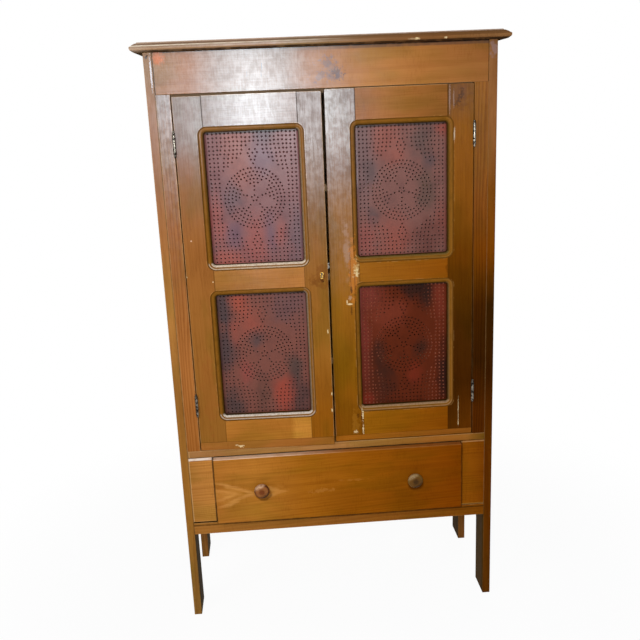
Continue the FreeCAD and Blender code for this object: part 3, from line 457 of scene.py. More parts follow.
def makePine(node, look):
    material, tree, shader = newMaterial(node + "Pine")
    at = boardPlace(tree, node)
    low, high = nodeBox(node)
    grainAt = grainSpace(tree, at, look, (low + high) / 2)
    figure = useGroup(tree, pineFigure, grainAt, pitch=look["pitch"], waver=look["waver"])
    # tone and gloss change along the board; the tones include painted shade, darker low down and to the
    # right, and a darker base where the gloss is strong, to offset the lamp's reflection
    parts = split(tree, at)
    colour, gloss = byStops(tree, parts[look["along"].upper()], sorted(look["tones"]), 0.1)
    if look["behind"]:
        # the sides get an even tone of their own, without the painted shade and wear of the front edge's
        # stops
        tone, shine = look["behind"]
        deep = ramp(tree, parts["Y"], low.y + 0.003, low.y + 0.020)
        colour = tint(tree, deep, colour, tone)
        gloss = scaled(tree, gloss, less(tree, 1.0, deep), times(tree, deep, shine))
    colour = blendIn(tree, 1.0, colour, grainShades["pale"], "MULTIPLY")
    cracks = times(tree, ramp(tree, speckle(tree, at, (520, 520, 60)), 0.50, 0.66, 0, look["crackle"]),
                   ramp(tree, speckle(tree, at, 16, 2.0), 0.40, 0.60))
    for amount, shade in (
            (ramp(tree, speckle(tree, grainAt, (14, 14, 5), 2.0), 0.45, 0.65, 0, 0.8), "olive"),
            (times(tree, figure["rings"], look["figure"]), "deep"),
            (ramp(tree, figure["fibres"], 0.42, 0.70, 0, look["fibre"]), "glaze"),
            (ramp(tree, figure["clouds"], 0.45, 0.72, 0, look["cloud"]), "glaze"), (cracks, "deep")):
        colour = shadeOver(tree, amount, colour, shade)
    if look["inner"]:
        plane, side, tone = look["inner"]
        tone = tint(tree, ramp(tree, parts["Z"], 0.298, 0.304), paint(tone), "innerPine")
        inside = ramp(tree, parts["X"], plane - side * 0.0006, plane - side * 0.0001)
        colour = blendIn(tree, inside, colour, tone)
    if look["flame"]:
        colour = flamePaint(tree, at, parts, colour, look["flame"])
    colour = edgePaint(tree, at, colour, look, low, high)
    streaks = useGroup(tree, polish, at, fibres=figure["fibres"], mottle=look["mottle"])
    gloss = times(tree, gloss, streaks["amount"])
    if look["dull"]:
        gloss = times(tree, gloss, ramp(tree, parts["Z"], *look["dull"]))
    if look["door"]:
        colour, keep = rimPaint(tree, at, colour, look["door"])
        gloss = times(tree, gloss, keep)
    for line in look["lines"]:
        colour = linePaint(tree, at, parts, colour, line)
    for spot in look["marks"]:
        colour = markPaint(tree, at, low.y, colour, spot)
    setShader(tree, shader, {
        "Base Color": colour, "Roughness": ramp(tree, figure["clouds"], 0.3, 0.75, *look["rough"]),
        "Coat Weight": gloss, "Coat Roughness": 0.30, "Coat IOR": 1.8, "Specular IOR Level": 0.0,
    }, (times(tree, figure["height"], look["bump"]), 0.5, 0.0006))
    return material


# boards with hand-softened arrises
softening = {"arris": 0.0009, "sharp": 40, "shortest": 0.004}


def onJoint(edge, door):
    # a door's rails meet its stiles flush in line with the openings' sides
    aside = [abs(abs(vertex.co.x - doorMiddle[door][0]) - opening["halfWide"]) for vertex in edge.verts]
    return max(aside) < 0.0004


def softBoard(node, look):
    work = bmesh.new()
    work.from_mesh(nodes[node].data)
    if node.startswith("left_"):
        work.transform(ajarTurn.inverted())
    bmesh.ops.remove_doubles(work, verts=work.verts, dist=2e-5)
    bmesh.ops.dissolve_limit(work, angle_limit=math.radians(0.6), verts=work.verts, edges=work.edges)
    sharp = math.radians(softening["sharp"])
    for face in work.faces:
        face.smooth = False
    joined = [edge for edge in work.edges if len(edge.link_faces) == 2]
    for edge in joined:
        if 0.01 < edge.calc_face_angle(0) < sharp:
            for face in edge.link_faces:
                face.smooth = face.calc_area() < 3e-3
    arrises = [edge for edge in joined
               if edge.is_convex and edge.calc_face_angle(0) > sharp
               and edge.calc_length() > softening["shortest"]
               and not (look["door"] and onJoint(edge, look["door"]))]
    made = bmesh.ops.bevel(work, geom=arrises, offset=softening["arris"], offset_type="OFFSET", segments=2,
                           profile=0.5, affect="EDGES", material=-1, clamp_overlap=False)
    for face in made["faces"]:
        face.smooth = True
    if node.startswith("left_"):
        work.transform(ajarTurn)
    addPiece(node + "Board", work, node, makePine(node, look))


# in millimetres, with what may be left out in brackets: a tone is place, red, green, blue (gloss); a line is
# axis, place, half width, tone, strength (where it fades); a mark is x, z, half width, half height, tone,
# strength, raggedness (softness); a tongue is tip, half width, reach, strength
# the tones carry painted shade, darker low down and to the right, and a darker base under strong gloss; the
# painted shade, shadows and highlights among the lines and marks are noted below
boardLooks = {
    "side_board_left": {"pitch": 0.0042, "heart": (0.1, 0.3), "figure": 0.8,
        "inner": (-0.423, 1, (92, 72, 40)), "behind": ((146, 94, 44), 0.06),
        "tones": ((1560, 140, 96, 62, 0.4), (1400, 138, 90, 56, 0.44), (1280, 144, 94, 56, 0.28),
        (1150, 154, 99, 52, 0.1), (900, 166, 111, 52, 0.02), (700, 142, 93, 40), (350, 152, 100, 38),
        (50, 138, 98, 44)), "lines": (("X", -423.8, 1.2, "dark", 0.5),),
        # the second mark is a painted highlight along the front edge by the inner arris
        "marks": ((-437, 1579, 3.5, 3.5, (70, 60, 60), 0.85, 0.3),
        (-428.2, 1541, 2.2, 40, (220, 214, 218), 0.85, 0.7))},
    "side_board_right": {"pitch": 0.0042, "heart": (-0.1, 0.3), "figure": 0.8, "wear": 0.08,
        "inner": (0.423, -1, (80, 56, 20)), "behind": ((134, 82, 34), 0.05),
        "tones": ((1560, 140, 92, 50, 0.06), (1350, 142, 90, 46, 0.04), (1220, 120, 68, 18),
        (1050, 116, 60, 5), (900, 54, 28, 2), (700, 57, 26, 2), (450, 100, 49, 3), (50, 96, 52, 8)),
        "marks": ((434.5, 1569, 10, 17, (150, 122, 118), 0.55, 0.9, 0.5),)},
    "frieze_rail": {"heart": (0.02, 0.12), "pitch": 0.01, "figure": 0.3, "fibre": 0.25, "wear": 0.2,
        "tones": ((-420, 140, 90, 44, 0.48), (-340, 143, 87, 46, 0.38), (-260, 104, 69, 44, 0.55),
        (-180, 100, 70, 48, 0.7), (-100, 106, 70, 44, 0.54), (-40, 142, 88, 46, 0.38),
        (120, 170, 111, 54, 0.18), (250, 172, 111, 55, 0.03), (420, 150, 94, 47, 0.04)),
        # the first two lines are a painted shadow under the top board's overhang
        "lines": (("Z", 1587.2, 5.2, (96, 70, 56), 0.75, -300, 200), ("Z", 1590.5, 2.2, (36, 24, 18), 0.98),
        ("X", -422, 1.3, "dark", 0.75), ("X", 422, 1.3, "dark", 0.6)),
        "marks": ((7.5, 1553, 18, 10, (104, 90, 96), 0.55, 1.5, 0.5),
        (34, 1524, 13, 14, (76, 64, 70), 0.7, 1.5, 0.4), (20, 1540, 16, 16, (110, 92, 92), 0.4, 1.6, 0.5),
        (4, 1517, 26, 10, (96, 84, 92), 0.5, 1.6, 0.5), (-153.5, 1547, 1.6, 11, (70, 58, 60), 0.75, 0.6),
        (-156, 1529, 1.3, 8, (70, 58, 60), 0.6, 0.6), (-191.5, 1531, 1.2, 7, (80, 66, 66), 0.5, 0.6),
        (-407.5, 1577, 14, 14, (206, 98, 26), 0.7, 0.5, 0.6))},
    "face_stile_left": {"pitch": 0.0036, "figure": 0.95, "mottle": 0.38, "tones": ((1470, 94, 60, 42, 0.95),
        (1380, 112, 68, 34, 0.76), (1270, 134, 82, 38, 0.55), (1150, 148, 90, 42, 0.25),
        (950, 152, 94, 44, 0.06), (750, 163, 101, 48), (560, 160, 98, 43))},
    "face_stile_right": {"pitch": 0.0036, "figure": 0.95, "wear": 0.08, "tones": ((1460, 146, 87, 27, 0.22),
        (1280, 134, 78, 24, 0.12), (1050, 117, 61, 8), (900, 68, 33, 3), (740, 56, 27, 3),
        (600, 80, 37, 3))},
    "divider_rail": {"figure": 0.35, "tones": ((-420, 166, 112, 66, 0.05), (-100, 180, 127, 71, 0.04),
        (120, 162, 108, 52, 0.02), (300, 158, 98, 36), (370, 156, 98, 38), (420, 118, 78, 24)),
        # the last line is painted shade in the gap above the drawer
        "lines": (("X", -419.5, 1.2, "worn", 0.5), ("Z", 502.4, 1.7, "dark", 0.9))},
    "drawer_block_left": {"heart": (0.03, 0.05), "figure": 0.6, "wear": 0.35,
        "tones": ((-420, 172, 112, 50, 0.03), (-360, 190, 126, 56, 0.03)),
        # the first line is a painted highlight with wear on the top edge; the last is painted shade in the
        # gap by the drawer
        "lines": (("Z", 498, 3.6, (236, 218, 204), 0.9), ("X", -421.5, 1.2, "worn", 0.6),
        ("X", -356.8, 1.4, "dark", 0.7))},
    # the first line is painted shade in the gap by the drawer
    "drawer_block_right": {"heart": (0.03, 0.05), "figure": 0.4, "wear": 0.12, "tones": ((360, 147, 82, 11),
        (420, 121, 62, 6)), "lines": (("X", 358, 2, "dark", 0.6), ("Z", 498.8, 1.6, "worn", 0.45),
        ("Z", 302.8, 1.2, (170, 130, 60), 0.5))},
    # both lines are painted shade: in the gap under the drawer, and the proud drawer's shadow on the rail
    "bottom_rail": {"figure": 0.5, "tones": ((-400, 160, 104, 44, 0.02), (400, 126, 70, 11)),
        "lines": (("Z", 300.1, 0.6, "dark", 0.95), ("Z", 291.5, 2.2, "dark", 0.65))},
    "left_hinge_stile": {"tones": ((1460, 92, 60, 42, 0.98), (1380, 94, 61, 42, 0.97),
        (1320, 116, 69, 36, 0.62), (1250, 134, 83, 38, 0.28), (1090, 144, 89, 40, 0.03), (900, 146, 92, 39),
        (600, 142, 91, 34)), "marks": ((-364, 1118, 2.2, 2.2, "pink", 0.7, 0.3),
        (-384, 1022, 2.2, 2.2, "cream", 0.7, 0.3), (-315, 1006, 2, 2, "cream", 0.7, 0.3),
        (-388, 1234, 2.8, 2.8, "cream", 0.9, 0.3), (-350, 700, 20, 100, (150, 84, 36), 0.3, 0.9))},
    "left_meeting_stile": {"mottle": 0.35, "tones": ((1460, 92, 62, 45, 0.32), (1360, 96, 62, 40, 0.38),
        (1250, 110, 68, 32, 0.36), (1120, 132, 83, 34, 0.18), (1000, 138, 88, 35, 0.03), (800, 144, 91, 30),
        (620, 138, 80, 15)), "marks": ((-15.5, 855, 2, 6, "cream", 0.8, 0.6),
        (-11.3, 675, 2, 5, "cream", 0.8, 0.6), (-12.5, 627, 2, 5, "cream", 0.8, 0.6),
        (-24.5, 1006, 6, 13, (40, 22, 10), 0.8, 0.7), (-20, 1012, 28, 28, (112, 58, 20), 0.4, 1, 0.4),
        (-45, 992, 14, 8, (104, 58, 20), 0.35, 0.9, 0.35))},
    "left_top_rail": {"figure": 0.25, "tones": ((-300, 92, 62, 44, 0.8), (-260, 92, 64, 47, 0.94),
        (-200, 92, 64, 47, 0.93), (-140, 94, 65, 47, 0.67), (-90, 100, 64, 42, 0.42))},
    "left_middle_rail": {"tones": ((-300, 160, 101, 45, 0.1), (-200, 164, 105, 46, 0.35),
        (-80, 168, 107, 47, 0.15))},
    "left_bottom_rail": {"tones": ((-310, 172, 109, 42), (-130, 170, 106, 38), (-115, 190, 126, 50),
        (-70, 186, 122, 46))},
    "left_bottom_strip": {"edgeTone": "dark", "edge": 0.0016, "tones": ((-300, 158, 98, 42),
        (-50, 160, 98, 40)), "marks": ((-272, 532.5, 8, 3.5, "cream", 0.85, 0.9),
        (-284, 536, 4, 2, "cream", 0.6, 0.9))},
    "right_hinge_stile": {"wear": 0.1, "tones": ((1460, 122, 71, 18, 0.28), (1380, 134, 79, 19, 0.1),
        (1200, 132, 77, 17, 0.03), (1050, 104, 55, 6), (850, 70, 36, 4), (680, 65, 31, 3), (560, 90, 45, 4)),
        "marks": ((347, 1456, 22, 26, (92, 52, 24), 0.4, 1.5, 0.5),
        (354, 1464, 5, 12, (60, 34, 18), 0.6, 1.2), (346, 1450, 5, 9, (60, 34, 18), 0.6, 1.2),
        (338, 1437, 6, 9, (70, 42, 24), 0.55, 1.2), (321.5, 1452, 2, 34, (176, 150, 136), 0.42, 1),
        (332, 1452, 1.6, 22, (176, 150, 136), 0.4, 1), (334, 1362, 1.8, 16, (214, 196, 170), 0.6, 1),
        (346.5, 600, 1.1, 24, "cream", 0.6, 1.8), (346.8, 560, 1.4, 9, "cream", 0.7, 1.2))},
    "right_meeting_stile": {"mottle": 0.36, "tones": ((1470, 94, 64, 47, 0.84), (1360, 100, 66, 42, 0.92),
        (1290, 100, 58, 24, 0.7), (1180, 134, 84, 24, 0.44), (1070, 147, 91, 28, 0.32),
        (920, 144, 90, 20, 0.05), (750, 131, 82, 13), (600, 133, 75, 11)),
        "marks": ((44, 1070, 7, 60, (178, 148, 132), 0.34, 1.4, 0.6),
        (51, 1050, 3.5, 45, (166, 132, 112), 0.4, 1.6, 0.6), (59, 1020, 11, 88, (182, 108, 34), 0.8, 0.7),
        (52.5, 1010, 1.4, 70, (92, 50, 16), 0.6, 1.2), (63.5, 985, 1.6, 30, (96, 52, 16), 0.6, 1.2),
        (68.5, 1026, 6.5, 18, (196, 158, 98), 0.6, 1.9), (68, 1007, 5.5, 9, (226, 202, 150), 0.7, 1.7),
        (48, 924, 8, 2.6, "cream", 0.95, 0.6), (41, 930, 2, 6, "cream", 0.8, 0.6),
        (50, 940, 6, 6, (176, 140, 108), 0.7, 0.9), (54, 962, 2.5, 10, (52, 26, 8), 0.7, 0.8),
        (52, 905, 2.2, 12, (60, 30, 10), 0.6, 0.8), (74.5, 602, 2.8, 18, "cream", 0.8, 1.3),
        (71.2, 592, 1.8, 17, (70, 22, 10), 0.65, 0.8), (54, 580, 10, 30, (152, 98, 26), 0.5, 1.2),
        (53.5, 551, 6, 4, "cream", 0.7, 1.1), (75, 557, 2.2, 12, "cream", 0.8, 1.2),
        (62, 600, 4, 8, (70, 34, 8), 0.6, 1.1))},
    "right_top_rail": {"tones": ((100, 146, 90, 48, 0.2), (150, 157, 100, 51, 0.09),
        (220, 151, 95, 44, 0.02), (310, 140, 86, 39, 0.02))},
    "right_middle_rail": {"tones": ((80, 145, 88, 19, 0.06), (320, 135, 73, 10)),
        "marks": ((335, 1010, 20, 30, (92, 48, 6), 0.5, 0.9),)},
    "right_bottom_rail": {"tones": ((80, 150, 89, 15), (320, 133, 71, 6))},
    "right_bottom_strip": {"edgeTone": "dark", "edge": 0.0016, "tones": ((0, 158, 92, 22),
        (370, 138, 78, 24))},
    # the lines are a painted highlight on the top arris and painted shade on the lower arris and in the end
    # gaps; the first two marks are painted shadows under the knobs
    "drawer_front": {"heart": (0.01, 0.05), "lean": (2.5, 1), "pitch": 0.007, "wear": 0.1, "figure": 0.4,
        "tones": ((-340, 172, 107, 40, 0.02), (-240, 177, 112, 39, 0.02), (-100, 159, 94, 21),
        (50, 146, 82, 12), (340, 126, 61, 3)), "lines": (("Z", 499.8, 1.2, (255, 226, 200), 0.85, 60, -220),
        ("Z", 499.8, 1.2, (190, 128, 70), 0.35), ("Z", 302, 1.8, "dark", 0.7),
        ("X", 353.4, 1.8, "dark", 0.7), ("X", -353.2, 1.6, "dark", 0.75)),
        "marks": ((-217, 386, 25, 22.5, (66, 34, 8), 0.6, 0.1, 0.14),
        (219, 386, 25, 22.5, (54, 26, 4), 0.6, 0.1, 0.14),
        (-318, 393, 36, 17, (200, 136, 62), 0.4, 0.9, 0.8),
        (-182, 393, 22, 13, (196, 130, 56), 0.35, 0.9, 0.8),
        (-55, 385, 24, 6, (196, 130, 54), 0.35, 1.2, 0.5), (60, 412, 40, 3, (180, 112, 40), 0.35, 1.4, 0.5)),
        "flame": {"middle": 0.391, "slant": 2.4, "tone": (222, 158, 84),
        "tongues": ((-320, 24, 30, 0.4), (-262, 20, 22, 0.42), (-208, 24, 44, 0.5), (-128, 24, 22, 0.42))}},
}
# up the moulding, the lines are a painted shadow along the foot, a darker band, a painted highlight on the
# upward-facing quirk, another darker band and a pale top edge
topLook = {
    "dull": (1.5912, 1.5935), "figure": 0.4, "edge": 0.0016, "wear": 0.3, "crackle": 0.6,
    "tones": ((-470, 178, 148, 120, 0.36), (-420, 154, 118, 84, 0.24), (-100, 150, 110, 76, 0.32),
    (120, 140, 98, 60, 0.1), (300, 136, 92, 52), (470, 130, 90, 52)),
    "lines": (("Z", 1592.6, 2.2, (40, 27, 16), 0.9), ("Z", 1602, 2.6, (112, 82, 56), 0.5, 250, -50),
    ("Z", 1605.2, 1.4, (250, 232, 208), 0.85, 100, -120), ("Z", 1608.6, 1.4, (104, 72, 50), 0.6, 150, -50),
    ("Z", 1612.8, 1.6, (206, 178, 158), 0.6)), "marks": ((234, 1597.5, 6, 2.8, "cream", 0.9, 0.7),
    (306, 1597.5, 4, 2.4, "cream", 0.9, 0.6), (222, 1597.5, 10, 2.2, (190, 160, 120), 0.6, 0.8))}


def wholeLook(node, look):
    # a board's name says which way it runs and whose door it is in
    named = {"along": "z" if "stile" in node or "side_" in node else "x"}
    side = node.split("_")[0]
    if side in doorMiddle:
        named["figure"] = 0.3
        named["door"] = None if "strip" in node else side
    return {**pineDefaults, **named, **look}


for number, (node, look) in enumerate(boardLooks.items()):
    softBoard(node, wholeLook(node, {"seed": 0.37 * number, **look}))
dress(nodes["top_board"], makePine("top_board", wholeLook("top_board", topLook)))
say("boards done")


# bare pine inside and behind
bareLook = {"pale": (168, 128, 84), "deep": (124, 86, 48), "dust": (96, 78, 58)}


def makeBarePine(name, along, seed, dim=1.0):
    material, tree, shader = newMaterial(name)
    turn = {"x": Matrix.Rotation(-math.pi / 2, 3, "Y"), "y": Matrix.Rotation(math.pi / 2, 3, "X"),
            "z": Matrix.Identity(3)}[along]
    turn = Matrix.Rotation(0.012, 3, "Y") @ turn
    grainAt = mapped(tree, ownPlace(tree), {"Location": (0.11, 0.16, seed), "Rotation": turn.to_euler()})
    figure = useGroup(tree, pineFigure, grainAt, pitch=0.006, waver=0.02)
    colour = tint(tree, times(tree, figure["rings"], 0.7), paint(bareLook["pale"]), bareLook["deep"])
    colour = tint(tree, ramp(tree, figure["clouds"], 0.35, 0.8, 0, 0.6), colour, bareLook["dust"])
    setShader(tree, shader, {
        "Base Color": blendIn(tree, 1.0, colour, (dim, dim, dim, 1), "MULTIPLY"),
        "Roughness": ramp(tree, figure["fibres"], 0.3, 0.7, 0.62, 0.85),
    }, (figure["height"], 0.35, 0.0006))
    return material


dressAll({
    makeBarePine("barePineX", "x", 0.2):
        "compartment_floor shelf_lower shelf_middle shelf_upper back_rail drawer_back drawer_bottom",
    makeBarePine("barePineY", "y", 1.3):
        "shelf_cleats_left shelf_cleats_right drawer_runner_left drawer_runner_right drawer_side_left "
        "drawer_side_right",
    makeBarePine("greyStop", "x", 3.1, 0.55): "door_stop",
})
for seed, (place, dim) in enumerate({"left": 1.0, "middle": 0.88, "right": 1.08}.items()):
    wood = makeBarePine("backBoard" + place.title(), "z", 2.4 + 0.7 * seed, dim)
    dress(nodes["back_board_" + place], wood)
say("bare boards done")


# iron, steel and brass
def makeMetal(name, bright, dark, rough, scale=300):
    material, tree, shader = newMaterial(name)
    patches = speckle(tree, ownPlace(tree), scale, 5.0, 0.6)
    setShader(tree, shader, {
        "Base Color": tint(tree, ramp(tree, patches, 0.38, 0.62), paint(bright), dark),
        "Roughness": ramp(tree, patches, 0.35, 0.65, *rough), "Metallic": 1.0,
    }, (patches, 0.4, 0.0002))
    return material


dressAll({
    makeMetal("hingeIron", (136, 128, 116), (18, 14, 11), (0.25, 0.55), 190):
        "case_hinge_leaves hinge_pins left_hinge_leaves right_hinge_leaves case_hinge_screws",
    makeMetal("plainIron", (140, 134, 126), (64, 50, 40), (0.35, 0.65)):
        "case_nails left_fasteners right_fasteners left_lock_body left_lock_bolt right_strike_plate "
        "right_catch_case right_catch_bolt",
    makeMetal("keyBrass", (238, 190, 92), (128, 86, 28), (0.3, 0.5)): "left_keyhole_lining",
})
say("metal done")


# punched tins
tinSize = {"wide": 0.254, "tall": 0.356, "front": 0.018, "thick": 0.0005}
punch = {
    "sides": 8, "lip": 0.0034, "stray": 0.0008,
    # each ring's darkness is painted shade, darkest at the hole
    "rings": ((0.0030, 0.0, 0.0), (0.0024, -0.00025, 0.0), (0.0017, 0.0004, 0.6),
              (0.0010, 0.0011, 1.0)),   # radius, sink, darkness
}
dotField = {   # millimetres
    "columns": 22, "rows": 33, "across": 10.5, "up": 10.4, "border": 3, "corner": 134, "lean": 0.14,
    "diamond": ((132.5, (-4, 4)), (124.5, (-8, 8)), (116, (-11.4, 0, 11.4)), (107, (-8, 8)), (98.5, (-4, 4)),
                (89.5, (0,))),
    "circles": ((78, 50, 0.5), (68.5, 44, 0), (59, 38, 0.5)),   # radius, dots, turn
    "wedge": ((20.5, (0,)), (30, (0,)), (39.8, (-9.6, 0, 9.6)), (49.6, (-19.4, -9.7, 0, 9.7, 19.4))),
    "gaps": ((20, 130), (10, 141)),   # half wide, half tall
    "petals": 5, "heart": 7.5, "closest": 7.5,
}


def onCircle(radius, angle):
    return radius * math.sin(angle), radius * math.cos(angle)


def dotRing(radius, count, turned):
    step = 2 * math.pi / count
    return [onCircle(radius, step * (i + turned)) for i in range(count)]


def starDots(upright):
    # a five-petalled star in three rings of dots, between two diamonds, in a field of dots
    field = dotField
    dots = []
    for row in range(field["rows"]):
        for column in range(field["columns"]):
            x = (column - (field["columns"] - 1) / 2) * field["across"]
            z = (row - (field["rows"] - 1) / 2) * field["up"]
            inward = min(column, field["columns"] - 1 - column, row, field["rows"] - 1 - row)
            border = inward < field["border"]
            gap = any(abs(x) < wide and abs(z) < tall for wide, tall in field["gaps"])
            if (border or abs(x) + abs(z) > field["corner"]) and not gap:
                # the corner fields lean, the border is square
                dots.append((x, z) if border else (x + math.copysign(field["lean"] * (abs(z) - 135), x), z))
    for up, places in field["diamond"]:
        dots += [(x, side * up) for x in places for side in (-1, 1)]
    for circle in field["circles"]:
        dots += dotRing(*circle)
    star = dotRing(field["heart"], field["petals"], 0.5) + [(0, 0)]
    for wedge in range(field["petals"]):
        middle = 2 * math.pi * (wedge + 0.5) / field["petals"]
        for radius, spread in field["wedge"]:
            star += [onCircle(radius, middle + across / radius) for across in spread]
    flip = 1 if upright else -1
    kept = []
    for x, z in dots + [(x, flip * z) for x, z in star]:
        if all(math.hypot(x - a, z - b) > field["closest"] for a, b in kept):
            kept.append((x, z))
    return kept


def punchedTin(node, material, seed):
    low, high = nodeBox(node)
    centre = (low + high) / 2
    chance = random.Random(seed)
    count, stray = punch["sides"], punch["stray"]
    face = caseFront + tinSize["front"]
    flat = [Vector((centre.x + sx * tinSize["wide"] / 2, centre.z + sz * tinSize["tall"] / 2))
            for sx, sz in ((-1, -1), (1, -1), (1, 1), (-1, 1))]
    lips = [(i, (i + 1) % 4) for i in range(4)]
    middles = []
    for x, z in starDots(node.startswith("right_")):   # the left door's stars hang upside down
        middle = Vector((centre.x + x / 1000 + chance.uniform(-stray, stray),
                         centre.z + z / 1000 + chance.uniform(-stray, stray)))
        middles.append(middle)
        turn = chance.uniform(0, 1)
        start = len(flat)
        for i in range(count):
            angle = (i + turn) * 2 * math.pi / count
            flat.append(middle + punch["lip"] * Vector((math.cos(angle), math.sin(angle))))
            lips.append((start + i, start + (i + 1) % count))
    # a sheet of triangles between the dots, with the dots left open
    points, _, triangles, origins, _, _ = geometry.delaunay_2d_cdt(flat, lips, [], 0, 1e-6)
    work = bmesh.new()
    dotOf = work.verts.layers.int.new("dot")
    depth = work.verts.layers.float.new("punch")
    verts = []
    for point, origin in zip(points, origins):
        vertex = work.verts.new((point.x, face, point.y))
        vertex[dotOf] = (origin[0] - 4) // count if origin and origin[0] >= 4 else -1
        verts.append(vertex)
    for triangle in triangles:
        dots = {verts[i][dotOf] for i in triangle}
        if dots == {-1} or len(dots) > 1:
            work.faces.new([verts[i] for i in triangle])
    loop = [edge for edge in work.edges if edge.is_boundary and edge.verts[0][dotOf] >= 0]
    for radius, sink, tone in punch["rings"]:
        grown = bmesh.ops.extrude_edge_only(work, edges=loop)["geom"]
        loop = [item for item in grown if isinstance(item, bmesh.types.BMEdge)]
        for vertex in (item for item in grown if isinstance(item, bmesh.types.BMVert)):
            middle = middles[vertex[dotOf]]
            out = Vector((vertex.co.x - middle.x, vertex.co.z - middle.y)).normalized() * radius
            vertex.co = (middle.x + out.x, face + sink, middle.y + out.y)
            vertex[depth] = tone
    bmesh.ops.recalc_face_normals(work, faces=work.faces)
    largest = max(work.faces, key=lambda item: item.calc_area())
    if largest.normal.y > 0:
        bmesh.ops.reverse_faces(work, faces=work.faces)
    if node.startswith("left_"):
        work.transform(ajarTurn)
    thing = addPiece(node + "Punched", work, node, material, 60)
    wall = thing.modifiers.new("wall", "SOLIDIFY")
    wall.thickness = tinSize["thick"]
    wall.offset = -1


tinDefaults = {"holes": (0.008, 0.004, 0.004, 1), "lips": 0}
blotLook = {"spread": 1.15, "strength": 0.85}   # the spread makes up for their faded rims
# a blot is across, down, half width and half height in hundredths of the sheet, then red, green, blue
tinLooks = {
    # the left upper sheet's grey-mauve base and blots are partly a painted sheen
    "left_upper_tin": {"base": (116, 70, 68), "coat": 0.3, "seed": 1.7,
        "blots": ((33, 5, 12, 8, 134, 76, 66), (36, 22, 12, 14, 134, 76, 66), (40, 35, 10, 10, 134, 76, 66),
        (62, 5, 8, 6, 84, 62, 66), (24, 50, 10, 10, 92, 64, 68), (3, 45, 5, 7, 92, 64, 68),
        (58, 20, 10, 10, 100, 66, 76), (27, 76, 8, 8, 100, 66, 76), (64, 77, 6, 10, 100, 66, 76),
        (8, 66, 8, 16, 138, 70, 62), (48, 84, 10, 16, 136, 68, 60), (76, 76, 6, 8, 136, 68, 60),
        (18, 96, 14, 6, 148, 72, 58), (92, 80, 10, 20, 98, 70, 74))},
    "left_lower_tin": {"base": (112, 62, 50), "coat": 0.15, "seed": 4.1,
        "blots": ((8, 14, 10, 17, 56, 44, 46), (8, 42, 9, 18, 56, 44, 46), (12, 90, 10, 13, 60, 44, 42),
        (27, 8, 9, 9, 150, 66, 46), (36, 22, 10, 10, 140, 66, 50), (20, 31, 6, 8, 132, 64, 50),
        (80, 12, 18, 12, 96, 62, 60), (42, 40, 7, 6, 76, 54, 52), (82, 65, 7, 10, 66, 48, 42),
        (86, 88, 12, 14, 70, 42, 38), (68, 82, 9, 13, 146, 58, 40), (28, 66, 6, 8, 132, 62, 52),
        (47, 86, 7, 12, 92, 54, 42))},
    "right_upper_tin": {"base": (114, 70, 61), "coat": 0.2, "seed": 7.3,
        "blots": ((10, 25, 12, 30, 102, 72, 70), (36, 12, 12, 12, 136, 72, 58), (42, 22, 10, 8, 134, 70, 56),
        (17, 36, 5, 6, 84, 60, 58), (19, 70, 5, 6, 84, 60, 58), (80, 30, 6, 6, 74, 54, 54),
        (72, 14, 10, 10, 84, 60, 54), (76, 50, 9, 12, 84, 58, 48), (94, 6, 6, 6, 134, 58, 44),
        (10, 86, 10, 12, 128, 62, 52), (42, 87, 16, 13, 132, 64, 50), (93, 75, 6, 12, 116, 56, 44),
        (76, 88, 16, 12, 90, 44, 34))},
    "right_lower_tin": {"base": (88, 32, 10), "coat": 0, "seed": 9.6, "holes": (0.018, 0.006, 0.004, 1),
        "lips": 0.6, "blots": ((10, 10, 14, 14, 114, 48, 38), (6, 45, 6, 30, 112, 44, 34),
        (30, 25, 18, 12, 112, 46, 28), (62, 5, 14, 6, 36, 20, 14), (76, 12, 6, 9, 36, 20, 14),
        (96, 76, 7, 20, 34, 18, 12), (22, 60, 8, 10, 54, 26, 16), (70, 53, 8, 6, 52, 26, 16),
        (27, 82, 12, 15, 58, 27, 16), (61, 76, 7, 7, 112, 38, 20), (8, 95, 6, 5, 116, 38, 22),
        (90, 16, 6, 16, 110, 42, 26))},
}


